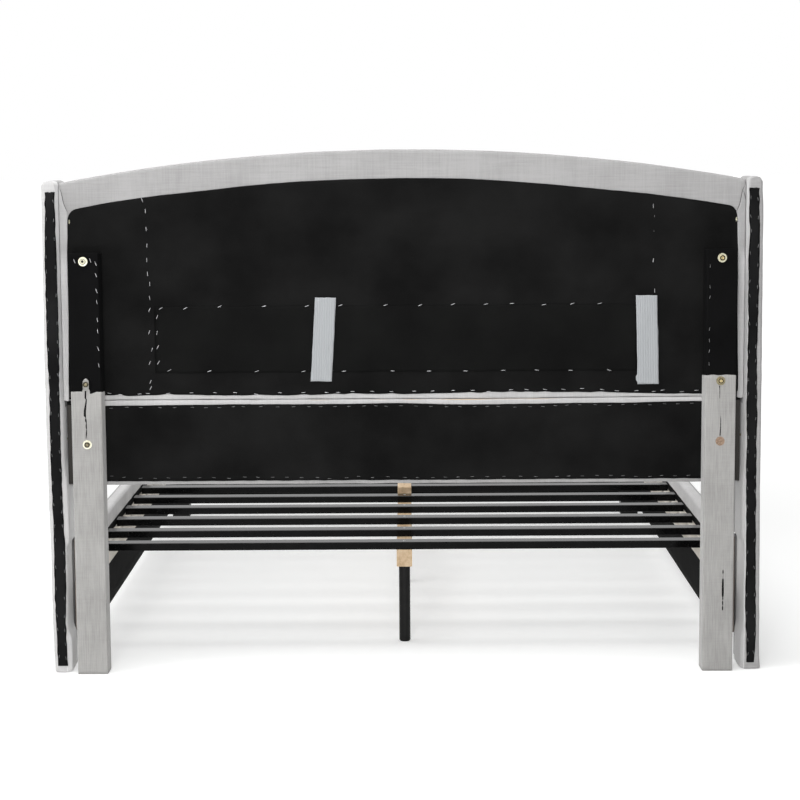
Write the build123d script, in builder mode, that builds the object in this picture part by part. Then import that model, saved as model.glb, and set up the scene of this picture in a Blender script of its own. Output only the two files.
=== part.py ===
from build123d import *
import os

os.makedirs("parts", exist_ok=True)

# An upholstered platform bed with a wingback headboard, in millimetres.
# X runs across the bed, Y from the foot end to the headboard, Z up from the floor.
# Along the bed, places are depths: distances from the back face of the posts towards the foot.

# Mattress that the frame takes
mattress_width = 1524.0
mattress_length = 2032.0
side_play = 13.0
end_play = 13.0

# Cloth, thin black lining, and the clearances that all pieces share
fabric = 1.2
lining = 0.8
overrun = 5.0
fit_gap = 0.3
lap = 12.0

# Headboard posts
post_width = 73.0
post_thickness = 57.0
post_height = 1007.0
post_set_in = 27.5
post_skin = 1.5
post_corner = 2.0
sleeve_top_right = 680.0
sleeve_top_left = 714.0

# Upper headboard panel, arched along its top
panel_over_rail = 36.0
panel_bottom = 656.5
arch_height = 1244.0
arch_rise = 74.0
edge_padding = 4.0
frame_thickness = 38.0
board_thickness = 3.0
foam_thickness = 25.0
front_round = 20.0
top_wrap = 68.0
side_wrap = 16.0
bottom_wrap = 9.0
cover_corner = 24.0

# Wooden members inside the upper panel
outer_stile_width = 95.0
stile_gap = 94.0
inner_stile_width = 50.0
bottom_rail_height = 62.0
middle_rail_share = 0.46
middle_rail_height = 40.0
top_rail_end_height = 70.0

# Patch on the back of the upper panel, and the two straps across it
patch_width = 1150.0
patch_height = 157.0
patch_bottom = 720.0
patch_centre = 15.0
strap_width = 51.0
strap_length = 206.0
strap_bottom = 691.0
strap_near_x = 193.0
strap_near_lean = 3.4
strap_far_x = -578.0
strap_far_lean = -1.4

# Lower headboard panel
lower_side_step = 7.0
lower_height = 205.0
panel_seam = 1.0
lower_top_wrap = 14.0
lower_bottom_wrap = 8.0
lower_round = 12.0

# Bolts through the posts, and the bolts that hold the wings
post_bolt_drop = 19.0
post_bolt_over_seam = 42.5
post_bolt_under_seam = 101.0
bolt_diameter = 8.0
bolt_hole_play = 1.0
bolt_head_diameter = 13.0
bolt_head_height = 5.0
bolt_socket = 6.0
bolt_socket_depth = 3.0
bolt_bite = 30.0
washer_diameter = 21.5
washer_thickness = 1.6
wing_bolt_top_inset = 90.0
wing_bolt_under_seam = 96.5
wing_bolt_diameter = 6.0
wing_bolt_head = 10.0
wing_bolt_head_height = 4.0
wing_bolt_bite = 12.0
wing_bolt_wall = 24.0
wing_pocket_width = 22.0
wing_pocket_height = 18.0

# Wings
wing_board_thickness = 24.0
wing_inner_foam = 5.0
wing_outer_foam = 7.0
wing_front_foam = 7.0
wing_top_foam = 6.0
wing_back_foam = 4.0
wing_set_back = 15.0
wing_depth = 150.0
wing_rise = 2.0
wing_floor_gap = 3.0
wing_round = 7.0
wing_strip_width = 22.0
wing_strip_end_gap = 20.0
wing_slot_inset = 4.0

# Side rails and footboard
rail_bottom = 62.0
rail_height = 248.0
rail_board_thickness = 25.0
rail_foam = 9.2
rail_top_foam = 10.0
rail_top_edge = 5.0
rail_round = 8.0
rail_head_gap = 4.0

# Ledgers that carry the slats
ledger_thickness = 17.0
ledger_height = 54.0
ledger_end_gap = 6.0

# Steel angles that hold the side rails to the posts
angle_thickness = 4.0
angle_height = 90.0
angle_post_leg = 56.0
angle_rail_overlap = 60.0
angle_under_ledger = 10.0

# Slats
slat_count = 11
slat_width = 42.0
slat_thickness = 19.0
slat_pitch = 173.0
slat_top = 267.0
slat_end_gap = 5.0
first_slat_gap = 135.0
slat_edge = 1.5

# Centre beam in two lengths, with its splice block
beam_width = 39.0
beam_height = 43.0
beam_overhang = 3.0
beam_front_length = 802.0
splice_length = 100.0
splice_height = 35.0
splice_edge = 1.5
beam_edge = 1.5

# Legs
leg_diameter = 28.4
leg_foot_diameter = 24.0
leg_foot_height = 2.5
leg_first_offset = 66.0
leg_splice_offset = 24.0
leg_rear_offset = 736.0
corner_leg_side = 58.0
corner_leg_under_rail = 22.0
corner_leg_under_foot = 12.0
corner_leg_edge = 3.0

# Corner blocks at the foot end
foot_block_side = 40.0

# Sizes that follow from the ones above
half_inner = mattress_width / 2 + side_play
inner_length = mattress_length + end_play
bolt_proud = bolt_head_height + washer_thickness
panel_back = post_thickness + lining
frame_back = panel_back + fabric
frame_front = frame_back + frame_thickness
board_front = frame_front + board_thickness
foam_front = board_front + foam_thickness
panel_front = foam_front + fabric
foot_inside = panel_front + inner_length
foot_thickness = lining + rail_board_thickness + rail_foam
foot_outside = foot_inside + foot_thickness
back_y = (foot_outside + bolt_proud) / 2 - bolt_proud
arch_corner_height = arch_height - arch_rise
half_panel = half_inner + panel_over_rail
half_frame = half_panel - edge_padding
half_lower = half_panel - lower_side_step
lower_bottom = panel_bottom - panel_seam - lower_height
rail_outside = half_inner + foot_thickness
rail_near_end = panel_front + rail_head_gap
rail_board_inside = half_inner + lining
rail_board_outside = rail_board_inside + rail_board_thickness
rail_board_bottom = rail_bottom + fabric
rail_board_top = rail_bottom + rail_height - rail_top_foam
foot_board_back = foot_inside + lining
foot_board_front = foot_board_back + rail_board_thickness
slat_bottom = slat_top - slat_thickness
ledger_bottom = slat_bottom - ledger_height
first_slat_depth = panel_front + first_slat_gap
last_slat_depth = first_slat_depth + (slat_count - 1) * slat_pitch
beam_bottom = slat_bottom - beam_height
beam_start = first_slat_depth - beam_overhang
beam_split = beam_start + beam_front_length
beam_end = last_slat_depth + slat_width + beam_overhang
post_centre = half_inner - post_set_in
post_inside = post_centre - post_width / 2
post_outside = post_centre + post_width / 2
wing_inside = half_panel
wing_board_inside = wing_inside + wing_inner_foam
wing_board_outside = wing_board_inside + wing_board_thickness
wing_outside = wing_board_outside + wing_outer_foam
wing_middle = (wing_board_inside + wing_board_outside) / 2
wing_front = wing_set_back + wing_depth
wing_height = arch_corner_height + wing_rise
member_inside = half_panel - outer_stile_width
member_bottom = panel_bottom + edge_padding
bottom_rail_top = member_bottom + bottom_rail_height
top_rail_bottom = arch_corner_height - top_rail_end_height
middle_rail_bottom = bottom_rail_top + middle_rail_share * (
    top_rail_bottom - bottom_rail_top - middle_rail_height
)
inner_stile_inside = member_inside - stile_gap - inner_stile_width

# Places of the bolts
bolt_hole = bolt_diameter + bolt_hole_play
post_bolt_places = [
    (post_centre, post_height - post_bolt_drop),
    (post_centre, panel_bottom + post_bolt_over_seam),
    (post_centre, panel_bottom - post_bolt_under_seam),
]
post_bolt_tip = frame_back + bolt_bite
wing_bolt_hole = wing_bolt_diameter + bolt_hole_play
wing_bolt_depth = frame_back + frame_thickness / 2
wing_bolt_heights = (arch_corner_height - wing_bolt_top_inset, panel_bottom - wing_bolt_under_seam)
wing_bolt_places = [(wing_bolt_depth, height) for height in wing_bolt_heights]
wing_bolt_seat = half_panel - wing_bolt_wall
wing_bolt_tip = wing_board_inside + wing_bolt_bite
angle_top = ledger_bottom - angle_under_ledger
angle_bottom = angle_top - angle_height
foot_block_inside = half_inner - foot_block_side
foot_block_near = foot_inside - foot_block_side
angle_front = post_thickness + angle_thickness


def upright(depth):
    """The plane across the bed at this depth, facing the foot end."""
    return Plane.XZ.offset(depth - back_y)


def block(x_low, x_high, depth_low, depth_high, z_low, z_high):
    """A plain block between two corners."""
    with BuildPart() as body:
        with BuildSketch(upright(depth_low)):
            with Locations(((x_low + x_high) / 2, (z_low + z_high) / 2)):
                Rectangle(x_high - x_low, z_high - z_low)
        extrude(amount=depth_high - depth_low)
    return body.part


def arched_slab(half_width, low, corner, crown, start, end):
    """A slab with straight sides and an arc for its top."""
    with BuildPart() as body:
        with BuildSketch(upright(start)):
            with BuildLine():
                Polyline((-half_width, corner), (-half_width, low), (half_width, low), (half_width, corner))
                ThreePointArc((half_width, corner), (0, crown), (-half_width, corner))
            make_face()
        extrude(amount=end - start)
    return body.part


def rods_along(places, diameter, start, end):
    """Round rods along the bed at places across it and up it, on both sides."""
    with BuildPart() as body:
        with BuildSketch(upright(start)):
            with Locations(*places):
                Circle(diameter / 2)
        extrude(amount=end - start)
        mirror(body.part, about=Plane.YZ)
    return body.part


def rods_across(places, diameter, start, end):
    """Round rods across the bed at places along it and up it, on both sides."""
    with BuildPart() as body:
        with BuildSketch(Plane.YZ.offset(start)):
            with Locations(*[(back_y - depth, height) for depth, height in places]):
                Circle(diameter / 2)
        extrude(amount=end - start)
        mirror(body.part, about=Plane.YZ)
    return body.part


def cuts_along(places, side, start, end):
    """Square rods along the bed, for the openings cut in cloth, on both sides."""
    with BuildPart() as body:
        with BuildSketch(upright(start)):
            with Locations(*places):
                Rectangle(side, side)
        extrude(amount=end - start)
        mirror(body.part, about=Plane.YZ)
    return body.part


def cuts_across(places, side, start, end):
    """Square rods across the bed, for the openings cut in cloth, on both sides."""
    with BuildPart() as body:
        with BuildSketch(Plane.YZ.offset(start)):
            with Locations(*[(back_y - depth, height) for depth, height in places]):
                Rectangle(side, side)
        extrude(amount=end - start)
        mirror(body.part, about=Plane.YZ)
    return body.part


def finish(builder, label):
    """Name a finished piece and write it."""
    builder.part.label = label
    export_step(builder.part, f"parts/{label}.step")


# Holes in wood and openings in cloth that several pieces share
post_holes = rods_along(post_bolt_places, bolt_hole, -overrun, post_bolt_tip + fit_gap)
post_cuts = cuts_along(post_bolt_places, bolt_hole, -overrun, post_bolt_tip + fit_gap)
wing_holes = rods_across(
    wing_bolt_places, wing_bolt_hole, wing_bolt_seat - wing_pocket_width / 2, wing_bolt_tip + fit_gap
)
wing_cuts = cuts_across(wing_bolt_places, wing_bolt_hole, wing_bolt_seat, wing_bolt_tip + fit_gap)

# Notches behind the side edges of the panels, where the heads of the wing bolts sit
with BuildPart() as wing_pockets:
    for height in wing_bolt_heights:
        add(
            block(
                wing_bolt_seat - wing_pocket_width,
                wing_bolt_seat,
                frame_back - overrun,
                wing_bolt_depth + wing_pocket_height / 2,
                height - wing_pocket_height / 2,
                height + wing_pocket_height / 2,
            )
        )
    mirror(wing_pockets.part, about=Plane.YZ)


def member(x_low, x_high, z_low, z_high):
    """A straight wooden member in the upper panel."""
    return block(x_low, x_high, frame_back, frame_front, z_low, z_high)


# Upper panel: wooden members between the back lining and the front board
with BuildPart() as upper_top_rail:
    add(
        arched_slab(
            half_frame,
            top_rail_bottom,
            arch_corner_height - edge_padding,
            arch_height - edge_padding,
            frame_back,
            frame_front,
        )
    )
    add(post_holes, mode=Mode.SUBTRACT)
finish(upper_top_rail, "upper_top_rail")

with BuildPart() as upper_outer_stiles:
    add(member(member_inside, half_frame, member_bottom, top_rail_bottom))
    mirror(upper_outer_stiles.part, about=Plane.YZ)
    add(wing_pockets.part, mode=Mode.SUBTRACT)
    add(post_holes, mode=Mode.SUBTRACT)
    add(wing_holes, mode=Mode.SUBTRACT)
finish(upper_outer_stiles, "upper_outer_stiles")

with BuildPart() as upper_bottom_rail:
    add(member(-member_inside, member_inside, member_bottom, bottom_rail_top))
finish(upper_bottom_rail, "upper_bottom_rail")

with BuildPart() as upper_inner_stiles:
    add(
        member(
            inner_stile_inside, inner_stile_inside + inner_stile_width, bottom_rail_top, top_rail_bottom
        )
    )
    mirror(upper_inner_stiles.part, about=Plane.YZ)
finish(upper_inner_stiles, "upper_inner_stiles")

with BuildPart() as upper_middle_rail:
    add(
        member(
            -inner_stile_inside,
            inner_stile_inside,
            middle_rail_bottom,
            middle_rail_bottom + middle_rail_height,
        )
    )
finish(upper_middle_rail, "upper_middle_rail")

# Upper panel: thin board across the front of the members
with BuildPart() as upper_board:
    add(
        arched_slab(
            half_frame,
            member_bottom,
            arch_corner_height - edge_padding,
            arch_height - edge_padding,
            frame_front,
            board_front,
        )
    )
finish(upper_board, "upper_board")

# Upper panel: foam, bevelled along its front edges
with BuildPart() as upper_pad:
    add(
        arched_slab(
            half_frame,
            member_bottom,
            arch_corner_height - edge_padding,
            arch_height - edge_padding,
            board_front,
            foam_front,
        )
    )
    chamfer(upper_pad.faces().sort_by(Axis.Y)[0].edges(), front_round - fabric)
finish(upper_pad, "upper_pad")

# Upper panel: fabric over the front and edges, wrapped on to the back
with BuildPart() as upper_filling:
    add(
        arched_slab(
            half_frame,
            member_bottom,
            arch_corner_height - edge_padding,
            arch_height - edge_padding,
            frame_back,
            foam_front,
        )
    )
    chamfer(upper_filling.faces().sort_by(Axis.Y)[0].edges(), front_round - fabric)

with BuildPart() as upper_cover:
    add(
        arched_slab(
            half_panel, panel_bottom, arch_corner_height, arch_height, panel_back, panel_front
        )
    )
    fillet(upper_cover.faces().sort_by(Axis.Y)[0].edges(), front_round)
    add(upper_filling.part, mode=Mode.SUBTRACT)
    add(
        arched_slab(
            half_panel - side_wrap - lap,
            panel_bottom + bottom_wrap + lap,
            arch_corner_height - top_wrap - lap,
            arch_height - top_wrap - lap,
            panel_back,
            frame_back,
        ),
        mode=Mode.SUBTRACT,
    )
    add(wing_cuts, mode=Mode.SUBTRACT)
    add(post_cuts, mode=Mode.SUBTRACT)
finish(upper_cover, "upper_cover")

# Upper panel: black lining over the back, notched where the upper wing bolts show
with BuildPart() as upper_dust_cover:
    add(
        arched_slab(
            half_panel - side_wrap,
            panel_bottom + bottom_wrap,
            arch_corner_height - top_wrap,
            arch_height - top_wrap,
            post_thickness,
            panel_back,
        )
    )
    fillet(upper_dust_cover.edges().filter_by(Axis.Y).group_by(Axis.Z)[-1], cover_corner)
    add(post_cuts, mode=Mode.SUBTRACT)
    add(
        cuts_along(
            [(wing_bolt_seat, wing_bolt_heights[0])], wing_bolt_head + fit_gap, 0, panel_back + overrun
        ),
        mode=Mode.SUBTRACT,
    )
finish(upper_dust_cover, "upper_dust_cover")

# Upper panel: black patch stapled over the lining, and two straps across it
patch_back = post_thickness - lining
with BuildPart() as back_patch:
    add(
        block(
            patch_centre - patch_width / 2,
            patch_centre + patch_width / 2,
            patch_back,
            post_thickness,
            patch_bottom,
            patch_bottom + patch_height,
        )
    )
finish(back_patch, "back_patch")

with BuildPart() as back_straps:
    for strap_x, strap_lean in ((strap_near_x, strap_near_lean), (strap_far_x, strap_far_lean)):
        with BuildSketch(upright(patch_back - lining)):
            with Locations(Location((strap_x, strap_bottom + strap_length / 2, 0), (0, 0, strap_lean))):
                Rectangle(strap_width, strap_length)
        extrude(amount=lining)
finish(back_straps, "back_straps")

# Lower panel: wooden core
lower_top = lower_bottom + lower_height
with BuildPart() as lower_core:
    add(
        block(
            -half_lower + edge_padding,
            half_lower - edge_padding,
            frame_back,
            frame_front,
            lower_bottom + edge_padding,
            lower_top - edge_padding,
        )
    )
    add(wing_pockets.part, mode=Mode.SUBTRACT)
    add(post_holes, mode=Mode.SUBTRACT)
    add(wing_holes, mode=Mode.SUBTRACT)
finish(lower_core, "lower_core")

# Lower panel: foam-backed fabric, wrapped on to the back
with BuildPart() as lower_cover:
    add(block(-half_lower, half_lower, panel_back, panel_front, lower_bottom, lower_top))
    fillet(lower_cover.faces().sort_by(Axis.Y)[0].edges(), lower_round)
    add(
        block(
            -half_lower + edge_padding,
            half_lower - edge_padding,
            frame_back,
            frame_front,
            lower_bottom + edge_padding,
            lower_top - edge_padding,
        ),
        mode=Mode.SUBTRACT,
    )
    add(
        block(
            -half_lower + lap,
            half_lower - lap,
            panel_back,
            frame_back,
            lower_bottom + lower_bottom_wrap + lap,
            lower_top - lower_top_wrap - lap,
        ),
        mode=Mode.SUBTRACT,
    )
    add(wing_cuts, mode=Mode.SUBTRACT)
    add(post_cuts, mode=Mode.SUBTRACT)
finish(lower_cover, "lower_cover")

# Lower panel: black lining over the back
with BuildPart() as lower_dust_cover:
    add(
        block(
            -half_lower + fabric,
            half_lower - fabric,
            post_thickness,
            panel_back,
            lower_bottom + lower_bottom_wrap,
            lower_top - lower_top_wrap,
        )
    )
    add(post_cuts, mode=Mode.SUBTRACT)
finish(lower_dust_cover, "lower_dust_cover")


def post_timber():
    """A post's timber, on the right-hand side, without its holes."""
    return block(
        post_inside + post_skin,
        post_outside - post_skin,
        post_skin,
        post_thickness - post_skin,
        0,
        post_height - post_skin,
    )


def post_cloth(z_low, z_high):
    """Cloth around a post between two heights, on the right-hand side."""
    with BuildPart() as body:
        add(block(post_inside, post_outside, 0, post_thickness, z_low, z_high))
        chamfer(body.edges().filter_by(Axis.Z), post_corner)
        add(post_timber(), mode=Mode.SUBTRACT)
        add(post_cuts, mode=Mode.SUBTRACT)
    return body.part


# Posts, each with a light sleeve below and a black wrap above
with BuildPart() as post_right:
    add(post_timber())
    add(post_holes, mode=Mode.SUBTRACT)
finish(post_right, "post_right")

with BuildPart() as post_left:
    mirror(post_right.part, about=Plane.YZ)
finish(post_left, "post_left")

with BuildPart() as post_sleeve_right:
    add(post_cloth(post_skin, sleeve_top_right))
finish(post_sleeve_right, "post_sleeve_right")

with BuildPart() as post_sleeve_left:
    mirror(post_cloth(post_skin, sleeve_top_left), about=Plane.YZ)
finish(post_sleeve_left, "post_sleeve_left")

with BuildPart() as post_wrap_right:
    add(post_cloth(sleeve_top_right, post_height))
finish(post_wrap_right, "post_wrap_right")

with BuildPart() as post_wrap_left:
    mirror(post_cloth(sleeve_top_left, post_height), about=Plane.YZ)
finish(post_wrap_left, "post_wrap_left")

# Bolts and washers that hold the posts to the panels
with BuildPart() as post_bolts:
    add(rods_along(post_bolt_places, bolt_head_diameter, -bolt_proud, -washer_thickness))
    add(rods_along(post_bolt_places, bolt_diameter, -washer_thickness, post_bolt_tip))
    with BuildSketch(upright(-bolt_proud)):
        with Locations(*post_bolt_places, *[(-x, z) for x, z in post_bolt_places]):
            RegularPolygon(bolt_socket / 2, 6, major_radius=False)
    extrude(amount=bolt_socket_depth, mode=Mode.SUBTRACT)
finish(post_bolts, "post_bolts")

with BuildPart() as post_washers:
    add(rods_along(post_bolt_places, washer_diameter, -washer_thickness, 0))
    add(post_holes, mode=Mode.SUBTRACT)
finish(post_washers, "post_washers")

# Bolts that hold the wings to the side edges of the panels
with BuildPart() as wing_bolts:
    add(
        rods_across(
            wing_bolt_places, wing_bolt_head, wing_bolt_seat - wing_bolt_head_height, wing_bolt_seat
        )
    )
    add(rods_across(wing_bolt_places, wing_bolt_diameter, wing_bolt_seat, wing_bolt_tip))
finish(wing_bolts, "wing_bolts")


def wing_timber():
    """A wing's board, on the right-hand side, without its holes."""
    return block(
        wing_board_inside,
        wing_board_outside,
        wing_set_back + wing_back_foam,
        wing_front - wing_front_foam,
        wing_floor_gap + wing_back_foam,
        wing_height - wing_top_foam,
    )


# Wings: board, padded cover, and the black strip down the back edge
with BuildPart() as wing_board_right:
    add(wing_timber())
    add(wing_holes, mode=Mode.SUBTRACT)
finish(wing_board_right, "wing_board_right")

with BuildPart() as wing_board_left:
    mirror(wing_board_right.part, about=Plane.YZ)
finish(wing_board_left, "wing_board_left")

wing_strip_bottom = wing_floor_gap + wing_strip_end_gap
wing_strip_top = wing_height - wing_strip_end_gap
with BuildPart() as wing_cover_right:
    add(block(wing_inside, wing_outside, wing_set_back, wing_front, wing_floor_gap, wing_height))
    fillet(wing_cover_right.edges().filter_by(Axis.Z), wing_round)
    chamfer(wing_cover_right.faces().sort_by(Axis.Z)[-1].edges(), wing_top_foam - fabric)
    add(wing_timber(), mode=Mode.SUBTRACT)
    add(
        block(
            wing_middle - wing_strip_width / 2 + wing_slot_inset,
            wing_middle + wing_strip_width / 2 - wing_slot_inset,
            wing_set_back - overrun,
            wing_set_back + wing_back_foam,
            wing_strip_bottom + wing_slot_inset,
            wing_strip_top - wing_slot_inset,
        ),
        mode=Mode.SUBTRACT,
    )
    add(wing_cuts, mode=Mode.SUBTRACT)
finish(wing_cover_right, "wing_cover_right")

with BuildPart() as wing_cover_left:
    mirror(wing_cover_right.part, about=Plane.YZ)
finish(wing_cover_left, "wing_cover_left")

with BuildPart() as wing_strips:
    add(
        block(
            wing_middle - wing_strip_width / 2,
            wing_middle + wing_strip_width / 2,
            wing_set_back - lining,
            wing_set_back,
            wing_strip_bottom,
            wing_strip_top,
        )
    )
    mirror(wing_strips.part, about=Plane.YZ)
finish(wing_strips, "wing_strips")


# Side rails: board, padded cover, black lining and ledger
with BuildPart() as rail_board_right:
    add(
        block(
            rail_board_inside,
            rail_board_outside,
            rail_near_end,
            foot_inside,
            rail_board_bottom,
            rail_board_top,
        )
    )
finish(rail_board_right, "rail_board_right")

with BuildPart() as rail_board_left:
    mirror(rail_board_right.part, about=Plane.YZ)
finish(rail_board_left, "rail_board_left")

with BuildPart() as rail_cover_right:
    add(block(half_inner, rail_outside, rail_near_end, foot_inside, rail_bottom, rail_bottom + rail_height))
    fillet(rail_cover_right.faces().sort_by(Axis.Z)[-1].edges().filter_by(Axis.Y), rail_round)
    add(rail_board_right.part, mode=Mode.SUBTRACT)
    add(
        block(half_inner, rail_board_inside, rail_near_end, foot_inside, rail_board_bottom, slat_top),
        mode=Mode.SUBTRACT,
    )
finish(rail_cover_right, "rail_cover_right")

with BuildPart() as rail_cover_left:
    mirror(rail_cover_right.part, about=Plane.YZ)
finish(rail_cover_left, "rail_cover_left")

with BuildPart() as rail_linings:
    add(block(half_inner, rail_board_inside, rail_near_end, foot_inside, rail_board_bottom, slat_top))
    mirror(rail_linings.part, about=Plane.YZ)
finish(rail_linings, "rail_linings")

with BuildPart() as ledger_right:
    add(
        block(
            half_inner - ledger_thickness,
            half_inner,
            rail_near_end + ledger_end_gap,
            foot_inside - ledger_end_gap,
            ledger_bottom,
            slat_bottom,
        )
    )
finish(ledger_right, "ledger_right")

with BuildPart() as ledger_left:
    mirror(ledger_right.part, about=Plane.YZ)
finish(ledger_left, "ledger_left")

# Steel angles between the posts and the side rails
with BuildPart() as rail_angles:
    with BuildSketch(Plane.XY.offset(angle_bottom)):
        with BuildLine():
            Polyline(
                (half_inner - angle_post_leg, back_y - post_thickness),
                (half_inner, back_y - post_thickness),
                (half_inner, back_y - rail_near_end - angle_rail_overlap),
                (half_inner - angle_thickness, back_y - rail_near_end - angle_rail_overlap),
                (half_inner - angle_thickness, back_y - angle_front),
                (half_inner - angle_post_leg, back_y - angle_front),
                close=True,
            )
        make_face()
    extrude(amount=angle_height)
    mirror(rail_angles.part, about=Plane.YZ)
finish(rail_angles, "rail_angles")

# Footboard: board, padded cover and black lining
with BuildPart() as foot_board:
    add(
        block(
            -rail_board_outside,
            rail_board_outside,
            foot_board_back,
            foot_board_front,
            rail_board_bottom,
            rail_board_top,
        )
    )
finish(foot_board, "foot_board")

with BuildPart() as foot_cover:
    add(block(-rail_outside, rail_outside, foot_inside, foot_outside, rail_bottom, rail_bottom + rail_height))
    fillet(foot_cover.faces().sort_by(Axis.Y)[0].edges().filter_by(Axis.Z), rail_round)
    chamfer(foot_cover.faces().sort_by(Axis.Z)[-1].edges(), rail_top_edge)
    add(foot_board.part, mode=Mode.SUBTRACT)
    add(
        block(-half_inner, half_inner, foot_inside, foot_board_back, rail_board_bottom, slat_top),
        mode=Mode.SUBTRACT,
    )
finish(foot_cover, "foot_cover")

with BuildPart() as foot_lining:
    add(block(-half_inner, half_inner, foot_inside, foot_board_back, rail_board_bottom, slat_top))
finish(foot_lining, "foot_lining")

# Foot end: corner blocks and corner legs
with BuildPart() as foot_blocks:
    add(block(foot_block_inside, half_inner, foot_block_near, foot_inside, rail_bottom, ledger_bottom))
    mirror(foot_blocks.part, about=Plane.YZ)
finish(foot_blocks, "foot_blocks")

corner_leg_outside = half_inner + corner_leg_under_rail
corner_leg_far = foot_inside + corner_leg_under_foot
with BuildPart() as foot_legs:
    add(
        block(
            corner_leg_outside - corner_leg_side,
            corner_leg_outside,
            corner_leg_far - corner_leg_side,
            corner_leg_far,
            0,
            rail_bottom,
        )
    )
    chamfer(foot_legs.edges().filter_by(Axis.Z), corner_leg_edge)
    mirror(foot_legs.part, about=Plane.YZ)
finish(foot_legs, "foot_legs")

# Centre legs: round, with a small foot
leg_depths = {
    "centre_leg_head": beam_start + leg_first_offset,
    "centre_leg_middle": beam_split - leg_splice_offset,
    "centre_leg_foot": beam_split + leg_rear_offset,
}
for leg_name, leg_depth in leg_depths.items():
    with BuildPart() as centre_leg:
        with BuildSketch(upright(leg_depth)):
            with BuildLine():
                Polyline(
                    (0, 0),
                    (leg_foot_diameter / 2, 0),
                    (leg_foot_diameter / 2, leg_foot_height),
                    (leg_diameter / 2, leg_foot_height),
                    (leg_diameter / 2, beam_bottom),
                    (0, beam_bottom),
                    close=True,
                )
            make_face()
        revolve(axis=Axis((0, back_y - leg_depth, 0), (0, 0, 1)))
    finish(centre_leg, leg_name)

def beam_length(start, end):
    """One length of the centre beam."""
    with BuildPart() as body:
        add(block(-beam_width / 2, beam_width / 2, start, end, beam_bottom, slat_bottom))
        chamfer(body.edges().filter_by(Axis.Y), beam_edge)
    return body.part


# Centre beam, in two lengths that butt under the splice block
with BuildPart() as beam_head:
    add(beam_length(beam_start, beam_split))
finish(beam_head, "beam_head")

with BuildPart() as beam_foot:
    add(beam_length(beam_split, beam_end))
finish(beam_foot, "beam_foot")

with BuildPart() as splice_block:
    add(
        block(
            -beam_width / 2,
            beam_width / 2,
            beam_split - splice_length / 2,
            beam_split + splice_length / 2,
            slat_bottom,
            slat_bottom + splice_height,
        )
    )
    chamfer(splice_block.edges().filter_by(Axis.Z), splice_edge)
    chamfer(splice_block.faces().sort_by(Axis.Z)[-1].edges(), splice_edge)
finish(splice_block, "splice_block")

# Slats
slat_half = half_inner - slat_end_gap
for slat_index in range(slat_count):
    slat_depth = first_slat_depth + slat_index * slat_pitch
    with BuildPart() as slat:
        add(block(-slat_half, slat_half, slat_depth, slat_depth + slat_width, slat_bottom, slat_top))
        chamfer(slat.edges().filter_by(Axis.X), slat_edge)
    finish(slat, f"slat_{slat_index + 1:02d}")
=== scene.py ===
"""Upholstered platform bed, seen from behind its headboard."""
import math
import random

import bmesh
import bpy
from mathutils import Matrix, Vector, noise

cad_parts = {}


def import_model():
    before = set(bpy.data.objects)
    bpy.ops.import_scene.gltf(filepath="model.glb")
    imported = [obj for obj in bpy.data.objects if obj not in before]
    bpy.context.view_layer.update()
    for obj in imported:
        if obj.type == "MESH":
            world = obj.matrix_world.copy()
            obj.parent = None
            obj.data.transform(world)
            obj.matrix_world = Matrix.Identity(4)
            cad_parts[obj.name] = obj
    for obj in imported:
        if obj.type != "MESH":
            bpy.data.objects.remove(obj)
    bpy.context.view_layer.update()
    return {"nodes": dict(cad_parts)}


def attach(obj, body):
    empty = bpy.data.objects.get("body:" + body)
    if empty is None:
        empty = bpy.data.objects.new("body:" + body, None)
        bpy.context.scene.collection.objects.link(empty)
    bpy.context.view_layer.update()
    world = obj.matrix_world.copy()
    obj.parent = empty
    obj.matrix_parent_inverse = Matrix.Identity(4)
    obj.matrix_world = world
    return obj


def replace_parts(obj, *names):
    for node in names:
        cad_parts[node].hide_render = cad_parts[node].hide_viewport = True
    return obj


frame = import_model()
nodes = frame["nodes"]
random.seed(7)

# Sizes in millimetres: x to the left of the picture, depth from the posts' back, z up
BACK_Y = 1099.8
HALF_PANEL = 811.0
PANEL_BACK = 57.8
UPPER_FRONT = 121.2
LOWER_FRONT = 122.2
PANEL_MIDDLE = 92.0
LINING_DEPTH = 57.0
PATCH_DEPTH = 54.6
STRAP_DEPTH = 52.0
PANEL_BOTTOM = 656.5
ARCH_TOP = 1244.0
ARCH_RISE = 74.0
ARCH_CORNER = ARCH_TOP - ARCH_RISE
COVER_HALF = 795.0
LOWER_HALF = 804.0
LOWER_BOTTOM = 449.0
LOWER_TOP = 655.5
POST_IN = 711.0
POST_OUT = 784.0
POST_THICK = 57.0
POST_TOP = 1007.0
RAIL_IN = 775.0
RAIL_OUT = 810.0
RAIL_NEAR = 130.2
RAIL_BOTTOM = 62.0
RAIL_TOP = 310.0
FOOT_IN = 2171.2
FOOT_OUT = 2206.2
WING_IN = 811.0
WING_OUT = 847.0
WING_BACK = 15.0
WING_FRONT = 165.0
WING_BOTTOM = 3.0
WING_TOP = 1172.0
WING_MIDDLE = 828.0
POST_MIDDLE = (POST_IN + POST_OUT) / 2
BOLT_HEIGHTS = (988.0, 699.0, 555.5)
SEAM_BAND_Y = (BACK_Y - 66.0) / 1000
SIDES = ((1, "right"), (-1, "left"))
BACKWARD = (0.0, 1.0, 0.0)


def world(x, depth, z):
    """A point of the bed in metres."""
    return Vector((x / 1000, (BACK_Y - depth) / 1000, z / 1000))


def arch(x, crown=ARCH_TOP, corner=ARCH_CORNER, half=HALF_PANEL):
    """Height of an arc over the headboard at x."""
    rise = crown - corner
    radius = (half * half + rise * rise) / (2 * rise)
    return crown - radius + math.sqrt(max(radius * radius - x * x, 0.0))


def ease(low, high, value):
    """Smooth step from 0 at low to 1 at high."""
    t = min(max((value - low) / (high - low), 0.0), 1.0)
    return t * t * (3 - 2 * t)


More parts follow.
